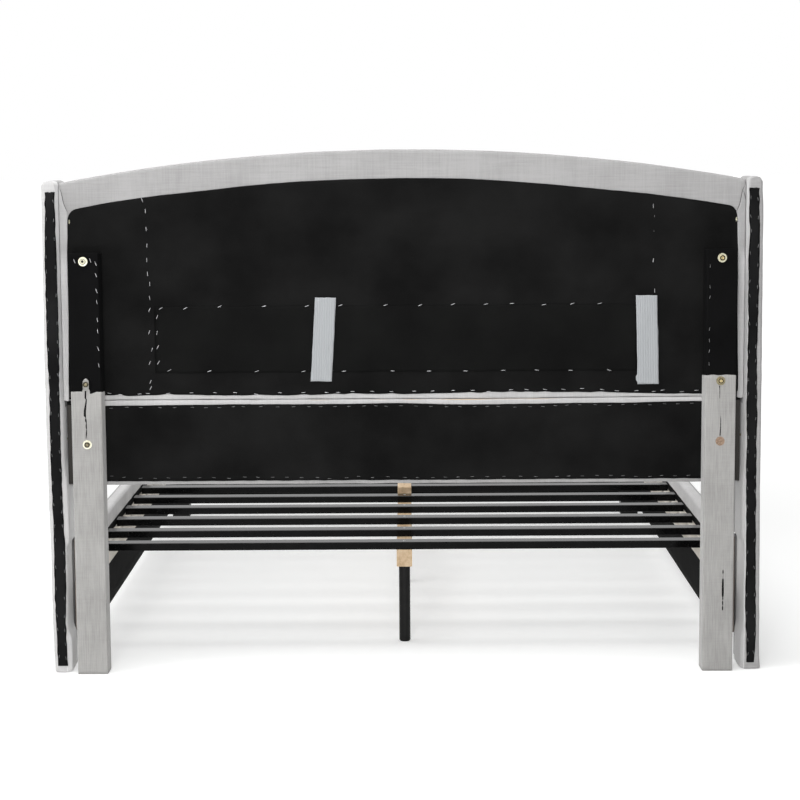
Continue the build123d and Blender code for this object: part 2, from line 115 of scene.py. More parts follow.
def wobble(x, y, z=0.0, scale=60.0):
    """Soft noise from -1 to 1 with features of about this many millimetres."""
    return noise.noise(Vector((x / scale, y / scale, z / scale)))


def knots(place, table):
    """A value between the ones given along a line of places."""
    if place <= table[0][0]:
        return table[0][1]
    for (low, first), (high, second) in zip(table, table[1:]):
        if place <= high:
            return first + (second - first) * (place - low) / (high - low)
    return table[-1][1]


def shares(count):
    """Equal steps from 0 to 1."""
    return [index / count for index in range(count + 1)]


# Materials
def feed(tree, made, inputs):
    """Set a node's inputs, each to a number, a colour or another node's socket."""
    for key, value in inputs.items():
        if isinstance(value, bpy.types.NodeSocket):
            tree.links.new(value, made.inputs[key])
        else:
            made.inputs[key].default_value = value


def node(tree, kind, inputs, **settings):
    """A new shader node with its settings and inputs."""
    made = tree.nodes.new("ShaderNode" + kind)
    for key, value in settings.items():
        setattr(made, key, value)
    feed(tree, made, inputs)
    return made


def material(name):
    """A new material, its node tree and its shader."""
    made = bpy.data.materials.new(name)
    made.use_nodes = True
    tree = made.node_tree
    tree.nodes.clear()
    shader = node(tree, "BsdfPrincipled", {})
    node(tree, "OutputMaterial", {"Surface": shader.outputs["BSDF"]})
    return made, tree, shader


def coat(tree, shader, colour, rough, gloss, normal):
    """What every surface of the bed sets on its shader."""
    inputs = {"Base Color": colour, "Roughness": rough, "Specular IOR Level": gloss, "Normal": normal}
    feed(tree, shader, inputs)


def coords(tree, scale=(1.0, 1.0, 1.0)):
    """Object coordinates, stretched."""
    source = node(tree, "TexCoord", {})
    return node(tree, "Mapping", {"Scale": scale, "Vector": source.outputs["Object"]}).outputs["Vector"]


def cloud(tree, scale, detail, rough, stretch=(1.0, 1.0, 1.0)):
    """Noise with features of about 1 / scale metres."""
    inputs = {"Scale": scale, "Detail": detail, "Roughness": rough, "Vector": coords(tree, stretch)}
    return node(tree, "TexNoise", inputs).outputs["Fac"]


def threads(tree, scale, direction, wander):
    """Waves across one axis, for threads or ribs."""
    made = node(tree, "TexWave", {"Scale": scale, "Distortion": wander}, bands_direction=direction)
    feed(tree, made, {"Detail": 1.0, "Detail Scale": 1.5, "Vector": coords(tree)})
    return made.outputs["Fac"]


def sums(tree, kind, first, second):
    """A math node of two sockets or numbers."""
    return node(tree, "Math", {0: first, 1: second}, operation=kind).outputs[0]


def mixed(tree, first, second, share):
    """Two values added up, with this share of the second."""
    kept = sums(tree, "MULTIPLY", first, 1.0 - share)
    return sums(tree, "ADD", kept, sums(tree, "MULTIPLY", second, share))


def spread(tree, value, middle, width):
    """A value from 0 to 1 brought round a middle."""
    return sums(tree, "ADD", sums(tree, "MULTIPLY", value, width), middle - width / 2)


def mapped(tree, value, low, high, first, last):
    """A value between low and high turned into one between first and last."""
    inputs = {"Value": value, "From Min": low, "From Max": high, "To Min": first, "To Max": last}
    return node(tree, "MapRange", inputs).outputs["Result"]


def ramp(tree, value, stops):
    """Colours along a value."""
    made = node(tree, "ValToRGB", {"Fac": value})
    band = made.color_ramp
    while len(band.elements) < len(stops):
        band.elements.new(0.5)
    for element, (place, colour) in zip(band.elements, stops):
        element.position = place
        element.color = (*colour, 1.0)
    return made.outputs["Color"]


def bump(tree, height, distance, strength, under=None):
    """The normal that a height gives, over another normal where one is given."""
    inputs = {"Strength": strength, "Distance": distance, "Height": height}
    if under is not None:
        inputs["Normal"] = under
    return node(tree, "Bump", inputs).outputs["Normal"]


THREAD_PITCH = 1.1
THREAD_SCALE = 1000.0 / THREAD_PITCH / 3.1416 / 2


def woven(name, dark, pale, sheen=0.25, patchy=0.35, upright=0.5, upper=None):
    """Linen-like weave with slubs; upper is the share of its tone that the cloth keeps above the posts,
    painted light that leaves the cloth below them paler where the posts shade it.
    """
    made, tree, shader = material(name)
    across, along, into = [threads(tree, THREAD_SCALE, axis, 1.2) for axis in "XZY"]
    weave = sums(tree, "MAXIMUM", sums(tree, "MAXIMUM", across, along), into)
    slub_x = cloud(tree, 60.0, 4.0, 0.6, (0.25, 1.0, 6.0))
    slub_z = cloud(tree, 60.0, 4.0, 0.6, (6.0, 1.0, 0.25))
    slubs = mixed(tree, slub_x, slub_z, upright)
    tone = mixed(tree, slubs, cloud(tree, 9.0, 3.0, 0.5), patchy)
    fine = sums(tree, "MULTIPLY", sums(tree, "SUBTRACT", weave, 0.5), 0.12)
    colours = ramp(tree, sums(tree, "ADD", tone, fine), [(0.30, dark), (0.62, pale)])
    # Painted light: above the posts' tops the tone falls to the share upper, so the cloth the posts shade
    # below stays paler
    if upper is not None:
        axes = node(tree, "SeparateXYZ", {"Vector": coords(tree)})
        share = mapped(tree, axes.outputs["Z"], 0.972, 1.012, 1.0, upper)
        painted_light_tone = node(tree, "VectorMath", {0: colours, "Scale": share}, operation="SCALE")
        colours = painted_light_tone.outputs["Vector"]
    coat(tree, shader, colours, 0.92, 0.15, bump(tree, slubs, 0.0009, 0.5, bump(tree, weave, 0.0003, 0.5)))
    feed(tree, shader, {"Sheen Weight": sheen, "Sheen Roughness": 0.5})
    return made


def nonwoven(name, dark, pale, rough=0.7, crease=0.0016):
    """Thin pressed cloth with soft creases and a fine dotted surface."""
    made, tree, shader = material(name)
    folds = cloud(tree, 14.0, 2.0, 0.45, (1.0, 1.0, 2.2))
    fine = cloud(tree, 900.0, 2.0, 0.5)
    colours = ramp(tree, mixed(tree, cloud(tree, 7.0, 3.0, 0.5), fine, 0.3), [(0.35, dark), (0.65, pale)])
    coat(tree, shader, colours, rough, 0.08, bump(tree, fine, 0.0002, 0.4, bump(tree, folds, crease, 0.8)))
    return made


def ribbed(name, dark, pale):
    """Elastic webbing with ribs along its length."""
    made, tree, shader = material(name)
    ribs = threads(tree, 78.0, "X", 0.4)
    picks = threads(tree, 210.0, "Z", 0.6)
    colours = ramp(tree, mixed(tree, ribs, picks, 0.4), [(0.1, dark), (0.75, pale)])
    coat(tree, shader, colours, 0.85, 0.2, bump(tree, picks, 0.0003, 0.6, bump(tree, ribs, 0.0008, 0.8)))
    feed(tree, shader, {"Sheen Weight": 0.2})
    return made


def timber(name, dark, middle, pale, along, rough=0.6):
    """Planed wood with its grain along one axis."""
    made, tree, shader = material(name)
    thin = [0.6 if axis == along else 9.0 for axis in "XYZ"]
    tone = mixed(tree, cloud(tree, 6.0, 6.0, 0.62, thin), cloud(tree, 60.0, 3.0, 0.6, thin), 0.25)
    colours = ramp(tree, tone, [(0.34, dark), (0.5, middle), (0.66, pale)])
    coat(tree, shader, colours, rough, 0.35, bump(tree, tone, 0.0006, 0.5))
    return made


def lacquer(name, dark, pale, rough, gloss=0.3, stretch=(1.0, 1.0, 1.0), painted_top_gloss=None):
    """Black paint with a faint grain and dust; the last argument is the gloss of faces that look up, raised
    there as a painted reflection on their tops.
    """
    made, tree, shader = material(name)
    grain = cloud(tree, 14.0, 5.0, 0.6, stretch)
    colours = ramp(tree, cloud(tree, 45.0, 4.0, 0.7), [(0.4, dark), (0.75, pale)])
    # Painted reflection: faces that look up get a higher gloss than the rest
    if painted_top_gloss is not None:
        surface = node(tree, "NewGeometry", {})
        axes = node(tree, "SeparateXYZ", {"Vector": surface.outputs["Normal"]})
        gloss = mapped(tree, axes.outputs["Z"], 0.5, 0.9, gloss, painted_top_gloss)
    coat(tree, shader, colours, spread(tree, grain, rough, 0.14), gloss, bump(tree, grain, 0.0003, 0.4))
    return made


def metal(name, dark, pale, rough):
    """Plated metal with worn tone."""
    made, tree, shader = material(name)
    wear = cloud(tree, 220.0, 4.0, 0.6)
    colours = ramp(tree, wear, [(0.35, dark), (0.65, pale)])
    coat(tree, shader, colours, spread(tree, wear, rough, 0.2), 0.5, bump(tree, wear, 0.0002, 0.3))
    feed(tree, shader, {"Metallic": 1.0})
    return made


GREY = woven("grey_fabric", (0.30, 0.294, 0.294), (0.43, 0.424, 0.424))
# Paler copy of the grey cloth: painted light on the band along the seam between the panels
SEAM_PAINTED_LIGHT = woven("seam_fabric_painted_light", (0.43, 0.424, 0.424), (0.58, 0.574, 0.574))
# Paler copies of the grey cloth, one for each end of the upper panel: painted light on the cloth folded
# over the ends
SIDE_GREY_PAINTED_LIGHT = {
    1: woven("side_fabric_painted_light_right", (0.64, 0.632, 0.634), (0.76, 0.752, 0.754), upper=0.72),
    -1: woven("side_fabric_painted_light_left", (0.60, 0.592, 0.594), (0.72, 0.712, 0.714), upper=0.6),
}
# Paler copies of the grey cloth with strong sheen: painted light and painted sheen on the wings' inner
# faces
WING_INSIDE_PAINTED_LIGHT = {
    1: woven("wing_inside_painted_light_right", (0.80, 0.792, 0.792), (0.88, 0.872, 0.872), sheen=0.8, upper=0.76),
    -1: woven("wing_inside_painted_light_left", (0.67, 0.662, 0.662), (0.77, 0.762, 0.762), sheen=0.5, upper=0.58),
}
# Paler copy of the grey cloth: painted light on the back of the wing at the picture's left
WING_BACK_PAINTED_LIGHT = woven("wing_back_fabric_painted_light", (0.48, 0.474, 0.474), (0.62, 0.613, 0.613))
END_SHADE = nonwoven("end_shade", (0.05, 0.047, 0.044), (0.085, 0.08, 0.075), 0.9)
FOLD_SHADE = nonwoven("fold_shade", (0.10, 0.098, 0.097), (0.14, 0.137, 0.136), 0.95)
LEDGER_PINE = timber("ledger_pine", (0.68, 0.62, 0.52), (0.80, 0.75, 0.67), (0.86, 0.82, 0.76), "Y")
# Paler copy of the grey cloth: painted light on the rails' tops and inner sides
RAIL_PAINTED_LIGHT = woven("rail_fabric_painted_light", (0.52, 0.512, 0.512), (0.69, 0.682, 0.682))
SLEEVE = woven("sleeve_fabric", (0.25, 0.244, 0.237), (0.43, 0.422, 0.411), patchy=0.36, upright=0.78)
LINING = nonwoven("black_lining", (0.0014, 0.0014, 0.0014), (0.0084, 0.0084, 0.0083))
PATCH = nonwoven("black_patch", (0.0015, 0.0015, 0.0015), (0.0054, 0.0056, 0.0053))
WRAP = nonwoven("black_wrap", (0.0015, 0.0015, 0.0016), (0.004, 0.004, 0.0042), 0.85)
STRIP = nonwoven("black_strip", (0.004, 0.004, 0.0042), (0.014, 0.014, 0.0145), 0.8, 0.003)
WEBBING = ribbed("strap_webbing", (0.37, 0.384, 0.398), (0.46, 0.476, 0.492))
PINE_Y, PINE_X, PINE_Z = [
    timber("pine_" + way, (0.52, 0.36, 0.21), (0.68, 0.50, 0.32), (0.78, 0.62, 0.43), axis)
    for way, axis in (("along", "Y"), ("across", "X"), ("up", "Z"))
]
BOARD = timber("pressed_board", (0.20, 0.13, 0.075), (0.28, 0.19, 0.11), (0.34, 0.24, 0.15), "X", 0.75)
# The slats' tops get a higher gloss than their sides: a painted reflection
SLAT = lacquer(
    "slat_black", (0.0018, 0.0018, 0.0019), (0.0045, 0.0045, 0.0047), 0.14, 0.085, (0.5, 12.0, 12.0), 0.65
)
LEG = lacquer("leg_black", (0.003, 0.003, 0.0028), (0.008, 0.008, 0.0076), 0.4, 0.2)
BRASS = metal("brass_bolt", (0.36, 0.28, 0.12), (0.62, 0.52, 0.30), 0.36)
PALE_BRASS = metal("pale_washer", (0.58, 0.56, 0.42), (0.76, 0.75, 0.62), 0.42)
# Near-black paint: painted shade for the bolt heads' grooves and socket
SOCKET_SHADE = lacquer("painted_socket_shade", (0.004, 0.003, 0.002), (0.012, 0.009, 0.006), 0.5)
DULL_BRASS = metal("dull_washer", (0.40, 0.39, 0.28), (0.56, 0.54, 0.42), 0.45)
OLD_BRASS = metal("old_washer", (0.17, 0.15, 0.09), (0.34, 0.30, 0.20), 0.5)
COPPER = metal("copper_washer", (0.22, 0.155, 0.11), (0.42, 0.31, 0.235), 0.5)
RAW_END = timber("raw_end", (0.26, 0.22, 0.19), (0.36, 0.31, 0.275), (0.46, 0.41, 0.37), "Z", 0.85)
INNER_LINING = nonwoven("inner_lining", (0.0012, 0.0012, 0.0012), (0.0035, 0.0035, 0.0035), 0.85)
ZINC = metal("zinc_steel", (0.50, 0.50, 0.50), (0.72, 0.72, 0.73), 0.38)
STAPLE = metal("staple_steel", (0.42, 0.42, 0.43), (0.68, 0.68, 0.70), 0.45)
DULL_STAPLE = metal("dull_staple", (0.13, 0.13, 0.13), (0.30, 0.30, 0.305), 0.5)


# Mesh building
def lines(low, high, step, edge=0.0, edge_cells=0):
    """Grid places from low to high, closer together near both ends."""
    out = []
    for cell in range(edge_cells):
        out += [low + edge * cell / edge_cells, high - edge * cell / edge_cells]
    start = low + edge
    end = high - edge
    count = max(1, round((end - start) / step))
    out += [start + (end - start) * index / count for index in range(count + 1)]
    return sorted(set(round(value, 4) for value in out))


def shell(xs, depths, zs, shape):
    """The six grids of a box, joined, with each point moved by shape(x, depth, z)."""
    mesh = bmesh.new()
    ends = (len(xs) - 1, len(depths) - 1, len(zs) - 1)
    found = {}

    def corner(i, j, k):
        key = (i, j, k)
        if key not in found:
            found[key] = mesh.verts.new(world(*shape(xs[i], depths[j], zs[k])))
        return found[key]

    for across, along, fixed in ((0, 1, 2), (0, 2, 1), (1, 2, 0)):
        for first in range(ends[across]):
            for second in range(ends[along]):
                for level in (0, ends[fixed]):
                    key = [level, level, level]
                    square = []
                    for right, up in ((0, 0), (1, 0), (1, 1), (0, 1)):
                        key[across] = first + right
                        key[along] = second + up
                        square.append(corner(*key))
                    mesh.faces.new(square)
    bmesh.ops.recalc_face_normals(mesh, faces=mesh.faces)
    return mesh


def skin(mesh, rows, closed=False):
    """Faces between neighbouring rows of points."""
    count = len(rows[0])
    for low, high in zip(rows, rows[1:]):
        for index in range(count if closed else count - 1):
            after = (index + 1) % count
            mesh.faces.new([low[index], low[after], high[after], high[index]])


def smooth(data):
    """Smooth shading all over a mesh."""
    data.polygons.foreach_set("use_smooth", [True] * len(data.polygons))


def piece(name, mesh, surface):
    """A new smooth object from a bmesh, riding on the bed."""
    data = bpy.data.meshes.new(name)
    mesh.to_mesh(data)
    mesh.free()
    data.materials.append(surface)
    smooth(data)
    made = bpy.data.objects.new(name, data)
    bpy.context.collection.objects.link(made)
    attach(made, "root")
    return made


def padding(name, xs, depths, zs, shape, surface):
    """A padded piece; each axis has its ends, its step, and the width and number of its end cells."""
    return piece(name, shell(lines(*xs), lines(*depths), lines(*zs), shape), surface)


def paint(made, surfaces, choose):
    """More materials on a piece; choose gives the number of the one that a face takes."""
    for surface in surfaces:
        made.data.materials.append(surface)
    for face in made.data.polygons:
        face.material_index = int(choose(face))


def pillowed(point, low, high, radius):
    """A point of a box moved on to the same box with rounded edges."""
    inner = [min(max(value, a + r), b - r) for value, a, b, r in zip(point, low, high, radius)]
    away = [(value - core) / r if r else 0.0 for value, core, r in zip(point, inner, radius)]
    size = math.sqrt(sum(value * value for value in away))
    if size < 1e-9:
        return point
    return tuple(core + value / size * r for core, value, r in zip(inner, away, radius))


def sheet(name, mesh, surface, thick, offset):
    """A piece from an open mesh, given its thickness."""
    bmesh.ops.recalc_face_normals(mesh, faces=mesh.faces)
    made = piece(name, mesh, surface)
    layer = made.modifiers.new("thickness", "SOLIDIFY")
    layer.thickness = thick / 1000
    layer.offset = offset
    graph = bpy.context.evaluated_depsgraph_get()
    data = bpy.data.meshes.new_from_object(made.evaluated_get(graph))
    made.modifiers.clear()
    old = made.data
    made.data = data
    bpy.data.meshes.remove(old)
    smooth(data)
    return made


def grid(name, xs, ts, place, surface, thick=0.8):
    """A thin sheet over a grid of two parameters."""
    mesh = bmesh.new()
    skin(mesh, [[mesh.verts.new(place(x, t)) for x in xs] for t in ts])
    return sheet(name, mesh, surface, thick, 0.0)


# A staple's crown: place along it, lift and thickness
CROWN = (
    (-1.0, -0.6, 0.7), (-0.86, 0.75, 0.9), (-0.4, 1.0, 1.0), (0.4, 1.0, 1.0), (0.86, 0.75, 0.9),
    (1.0, -0.6, 0.7),
)


def bar(mesh, centre, along, out, length, width, height):
    """A small rounded bar lying on a surface."""
    side = along.cross(out).normalized()
    rings = []
    for share, lift, thin in CROWN:
        middle = centre + along * (length / 2000) * share + out * (lift * height / 1000)
        ring = []
        for turn in range(6):
            angle = math.tau * turn / 6
            offset = side * math.cos(angle) * width / 2000 * thin + out * math.sin(angle) * height / 2000
            ring.append(mesh.verts.new(middle + offset))
        rings.append(ring)
    skin(mesh, rings, True)
    mesh.faces.new(rings[0][::-1])
    mesh.faces.new(rings[-1])


def staples(name, places, length=10.5, width=1.3, height=0.7, surface=STAPLE):
    """A row of staples; each place is a point and the staple's lean in degrees from upright."""
    mesh = bmesh.new()
    out = Vector(BACKWARD)
    up = Vector((0, 0, 1))
    side = up.cross(out).normalized()
    for x, depth, z, lean in places:
        turn = math.radians(lean)
        along = (up * math.cos(turn) + side * math.sin(turn)).normalized()
        bar(mesh, world(x, depth, z), along, out, length, width, height)
    bmesh.ops.recalc_face_normals(mesh, faces=mesh.faces)
    made = piece(name, mesh, surface)


# How far the seam between the panels hangs, along its length
SEAM_DROP = [
    (-700, -1.2), (-584, -1.0), (-450, -2.2), (-317, -2.9), (-216, -3.1), (-150, -4.0), (-116, -3.3),
    (-49, -2.9), (51, -2.5), (151, -2.4), (700, -2.0),
]


# Upper panel: padded cover over the front and edges, wrapped on to the back
def upper_shape(x, depth, z):
    """Rounded edges, an arched top and a crown on the front face."""
    low = (-HALF_PANEL, PANEL_BACK, PANEL_BOTTOM + 0.2)
    high = (HALF_PANEL, UPPER_FRONT, ARCH_CORNER)
    radius = 22.0 if depth > PANEL_MIDDLE else 5.0 if z > 700.0 else 3.4
    x1, d1, z1 = pillowed((x, depth, z), low, high, (radius, radius, radius))
    share = (z1 - PANEL_BOTTOM) / (ARCH_CORNER - PANEL_BOTTOM)
    top = arch(x1) - ARCH_CORNER
    z2 = z1 + top * share
    if depth > PANEL_MIDDLE:
        inside_x = ease(0.0, 170.0, HALF_PANEL - abs(x1))
        inside_z = ease(0.0, 150.0, z1 - PANEL_BOTTOM) * ease(0.0, 150.0, ARCH_CORNER - z1)
        swell = 6.0 * inside_x * inside_z + 1.2 * wobble(x1, z1, 3.0, 170.0)
        d1 += swell * ease(PANEL_MIDDLE, 118.0, depth)
    else:
        d1 += 0.5 * wobble(x1, z1, 9.0, 60.0) + 0.35
        z2 += 1.0 * wobble(x1, 0.0, 19.0, 40.0) * ease(20.0, 0.0, z1 - PANEL_BOTTOM)
        z2 += knots(x1, SEAM_DROP) * ease(12.0, 2.0, z1 - PANEL_BOTTOM)
    z2 += 0.8 * wobble(x1, depth, 5.0, 90.0) * ease(1040.0, 1165.0, z1)
    return x1, d1, z2


upper = padding(
    "upper_cover_padded",
    (-HALF_PANEL, HALF_PANEL, 16.0, 24.0, 6),
    (PANEL_BACK, UPPER_FRONT, 10.0, 22.0, 6),
    (PANEL_BOTTOM, ARCH_CORNER, 14.0, 24.0, 6),
    upper_shape,
    GREY,
)
# Painted light: the band by the seam takes the paler copy of the grey cloth
paint(upper, [SEAM_PAINTED_LIGHT], lambda face: face.center.z < 0.69 and face.center.y > SEAM_BAND_Y)
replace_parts(upper, "upper_cover", "upper_pad")


# Lower panel: the same, thinner
def lower_shape(x, depth, z):
    """Rounded edges and a slight crown."""
    low = (-LOWER_HALF, PANEL_BACK, LOWER_BOTTOM)
    high = (LOWER_HALF, LOWER_FRONT, LOWER_TOP)
    radius = 14.0 if depth > PANEL_MIDDLE else 4.0
    x1, d1, z1 = pillowed((x, depth, z), low, high, (radius, radius, radius))
    if depth > PANEL_MIDDLE:
        inside = ease(0.0, 120.0, LOWER_HALF - abs(x1)) * ease(0.0, 70.0, z1 - LOWER_BOTTOM)
        inside *= ease(0.0, 70.0, LOWER_TOP - z1)
        d1 += (5.0 * inside + 0.8 * wobble(x1, z1, 13.0, 150.0)) * ease(PANEL_MIDDLE, 116.0, depth)
    else:
        d1 += 0.4 * wobble(x1, z1, 4.0, 60.0) + 0.3
        z1 += 0.9 * wobble(x1, 0.0, 7.0, 55.0) * ease(30.0, 0.0, z1 - LOWER_BOTTOM)
        z1 += 0.7 * wobble(x1, 5.0, 7.0, 45.0) * ease(30.0, 0.0, LOWER_TOP - z1)
        z1 += knots(x1, SEAM_DROP) * ease(12.0, 2.0, LOWER_TOP - z)
    return x1, d1, z1


lower = padding(
    "lower_cover_padded",
    (-LOWER_HALF, LOWER_HALF, 14.0, 16.0, 5),
    (PANEL_BACK, LOWER_FRONT, 10.0, 14.0, 5),
    (LOWER_BOTTOM, LOWER_TOP, 12.0, 16.0, 5),
    lower_shape,
    GREY,
)
# Painted light: the band by the seam takes the paler copy of the grey cloth
paint(lower, [SEAM_PAINTED_LIGHT], lambda face: face.center.z > 0.62 and face.center.y > SEAM_BAND_Y)
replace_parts(lower, "lower_cover")

# Staples on the back, as x, z and lean in degrees
STILE_STAPLES = [
    (613, 1129, -18), (606, 1103, 1), (605, 1061, -2), (604, 1022, 4), (605, 988, 0), (604, 955, -7),
    (599, 931, 0), (600, 898, -9), (601, 870, 25), (603, 816, 18), (597, 775, 16), (603, 743, 24),
    (602, 698, 22), (602, 683, 24), (-592, 1108, 0), (-593, 980, 7), (-597, 908, 0),
]
FAINT_STAPLES = [(-595, 1084, 3), (-594, 1049, -3), (-595, 1013, 2)]
PATCH_STAPLES = [
    (574, 873, 57), (516, 873, 64), (434, 877, 63), (329, 877, 78), (227, 877, 71), (148, 878, 70),
    (41, 878, 73), (-41, 877, 70), (-119, 879, 70), (-197, 879, 79), (-259, 880, 85), (-335, 877, 76),
    (-402, 879, 72), (-467, 879, 75), (557, 725, 63), (461, 723, 70), (348, 722, 69), (237, 721, 72),
    (141, 721, 83), (25, 721, 92), (-62, 720, 87), (-149, 720, 89), (-238, 721, 87), (-318, 721, 98),
    (-399, 720, 89), (-490, 720, 105), (583, 853, 22), (584, 815, 14), (583, 781, 28), (582, 744, 33),
]
HEM_STAPLES = [
    (-699, 670), (-664, 667), (-618, 671), (-597, 668), (-556, 670), (-509, 670), (-474, 673), (-426, 676),
    (-382, 674), (-338, 674), (-294, 674), (-257, 674), (-203, 670), (-166, 673), (-119, 673), (-70, 672),
    (-26, 672), (28, 671), (74, 672), (121, 672), (155, 670), (183, 670), (238, 670), (294, 670),
    (351, 667), (401, 671), (449, 671), (505, 671), (561, 670), (609, 670), (629, 669), (675, 668),
    (701, 671),
]
LOWER_TOP_STAPLES = [
    (-688, 639), (-655, 638), (-623, 638), (-588, 636), (-554, 637), (-524, 637), (-492, 635), (-458, 637),
    (-421, 637), (-390, 636), (-363, 635), (-333, 633), (-302, 633), (-266, 632), (-226, 634), (-200, 634),
    (-170, 634), (-135, 634), (-103, 634), (-66, 635), (-30, 636), (6, 637), (41, 636), (66, 637),
    (94, 637), (130, 636), (163, 636), (197, 636), (225, 636), (262, 636), (300, 636), (340, 637),
    (382, 637), (406, 637), (439, 635), (471, 635), (504, 636), (546, 636), (581, 636), (627, 636),
    (660, 637), (698, 635),
]
LOWER_HEM_STAPLES = [
    (-682, 465), (-650, 464), (-617, 465), (-590, 463), (-556, 463), (-525, 465), (-496, 466), (-463, 466),
    (-428, 465), (-395, 465), (-367, 464), (-317, 464), (-280, 465), (-240, 465), (-200, 465), (-164, 465),
    (-130, 464), (-100, 464), (-70, 463), (-33, 463), (-3, 464), (38, 466), (75, 464), (108, 467),
    (137, 464), (178, 462), (207, 465), (245, 465), (280, 466), (314, 466), (349, 466), (381, 467),
    (419, 464), (455, 466), (490, 466), (525, 467), (564, 466), (596, 465), (631, 465), (671, 468),
    (700, 471),
]
pins = [(x, z) for x, z, lean in STILE_STAPLES + PATCH_STAPLES] + HEM_STAPLES


def near(x, z, places, reach):
    """How close a point is to the nearest of these places, from 0 far to 1 on one."""
    best = 0.0
    for a, b in places:
        gap = (x - a) ** 2 + (z - b) ** 2
        if gap < 9 * reach * reach:
            best = max(best, math.exp(-gap / (reach * reach)))
    return best


# The upper lining: half its width by height, the radius of its corners, and how its top edge strays
LINING_HALF = [
    (660, 797.4), (706, 797.0), (740, 796.0), (800, 794.6), (850, 793.4), (1006, 793.0), (1040, 791.2),
    (1100, 790.0),
]
LINING_CORNER = 19.0
LINING_TOP = [
    (-740, 1.5), (-693, 1.2), (-645, 0.4), (-598, 0.3), (-551, -0.7), (-504, -2.0), (-457, -2.5),
    (-410, -2.5), (-363, -2.0), (-316, -1.3), (-268, -0.9), (-221, 0.3), (-174, 0.9), (-80, 1.2), (14, 0.6),
    (108, 0.6), (202, 1.1), (297, 1.1), (391, 0.5), (438, -0.5), (486, -0.8), (533, 0.5), (580, 1.7),
    (627, 2.2), (675, 2.8), (722, 2.3), (770, 1.8), (790, 0.5),
]


def lining_edge(x):
    """Top edge of the black lining, an arc with rounded ends."""
    top = arch(x, 1176.0, 1103.0, COVER_HALF) + knots(x, LINING_TOP)
    near_end = abs(x) - (COVER_HALF - LINING_CORNER)
    if near_end > 0:
        top -= LINING_CORNER - math.sqrt(max(LINING_CORNER**2 - near_end * near_end, 0.0))
    return top


# Bottom edge of the upper lining, drawn up at the staples
LINING_LOW = [
    (-700, 661.6), (-660, 662.8), (-641, 661.7), (-602, 663.1), (-526, 665.0), (-488, 666.4), (-469, 668.5),
    (-450, 666.6), (-412, 667.6), (-355, 667.5), (-336, 669.2), (-316, 667.9), (-297, 669.2), (-278, 668.1),
    (-259, 669.9), (-240, 668.1), (-202, 669.3), (-183, 666.5), (-164, 668.6), (-126, 666.9), (-69, 666.0),
    (-11, 664.7), (8, 664.8), (27, 667.3), (46, 665.3), (84, 665.7), (122, 667.6), (141, 665.3),
    (160, 666.9), (179, 665.6), (218, 663.6), (237, 665.4), (275, 663.0), (313, 663.7), (351, 665.6),
    (370, 663.6), (428, 663.9), (466, 664.6), (504, 666.1), (542, 666.3), (561, 668.8), (580, 665.8),
    (618, 665.0), (657, 663.6), (676, 667.4), (695, 665.7),
]


def lining_spot(x, share):
    """A point of the upper lining, slack between its staples."""
    bottom = knots(x, LINING_LOW) + 0.5 * wobble(x, 0.0, 2.0, 14.0) - 9.0 * ease(782.0, 787.0, abs(x))
    top = lining_edge(x) + 0.5 * wobble(x, 40.0, 2.0, 30.0)
    z = bottom + (top - bottom) * share
    side = 1.0 if x > 0 else -1.0
    edge = ease(COVER_HALF - 40.0, COVER_HALF, abs(x))
    across = x + side * edge * (knots(z, LINING_HALF) - COVER_HALF + 0.5 * wobble(0.0, z, 21.0, 30.0))
    slack = 1.1 + 1.4 * wobble(x, z, 31.0, 150.0) + 0.7 * wobble(x, z * 1.6, 77.0, 60.0)
    slack *= ease(0.0, 40.0, top - z) * ease(0.0, 40.0, z - bottom) * ease(0.0, 30.0, COVER_HALF - abs(x))
    slack -= 1.0 * near(x, z, pins, 9.0)
    if abs(x) > POST_IN - 6.0 and z < POST_TOP + 10.0:
        slack = min(slack, 0.2)
    return world(across, LINING_DEPTH - max(min(slack, 2.4), -0.4), z)


across = lines(-COVER_HALF, COVER_HALF, 9.0, 24.0, 8)
lining = grid("upper_lining", across, shares(64), lining_spot, LINING)
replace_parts(lining, "upper_dust_cover")


# Cloth folded over the upper panel's ends, and its slanting inner edge at the top
FOLD_LOW = 652.0
FOLD_HIGH = 1157.0
FOLDS = {
    1: [
        (1090, 789.6), (1103.5, 791.2), (1112.5, 795.5), (1123, 799.7), (1138, 802.3), (1151.5, 805),
        (1157, 808.4),
    ],
    -1: [
        (1090, 789.6), (1096.5, 790.0), (1104, 793.6), (1114.4, 797.2), (1129, 800), (1144, 802.8),
        (1157, 809.2),
    ],
}


def side_wrap_spot(side):
    """A point of the cloth folded over one end of the upper panel."""

    def spot(t, share):
        z = FOLD_LOW + (FOLD_HIGH - FOLD_LOW) * share
        inner = knots(z, LINING_HALF) + 0.4
        if z > 1090.0:
            inner = knots(z, FOLDS[side])
        if side < 0:
            inner -= 3.0 * ease(672.0, 664.0, z)
        x = inner + (810.0 - inner) * t
        curl = ease(658.0, FOLD_LOW, z) * (4.0 * (t - 0.5) ** 2)
        z += curl + side * 1.6 * ease(664.0, FOLD_LOW, z) * t
        fold = ease(1092.0, 1104.0, z) * (1.0 - t) ** 2
        lift = 0.9 + 0.5 * wobble(z, x, 9.0 + side, 26.0) + 1.5 * fold
        lift += 0.9 * ease(690.0, 660.0, z) * (1.0 - t) + 0.5 * math.sin(math.pi * t)
        return world(side * x, PANEL_BACK - lift, z)

    return spot


# The folded cloth at each end takes a paler copy of the grey cloth as painted light
for side, label in SIDES:
    spot = side_wrap_spot(side)
    wrapped = grid("upper_side_wrap_" + label, shares(6), shares(110), spot, SIDE_GREY_PAINTED_LIGHT[side], 0.9)


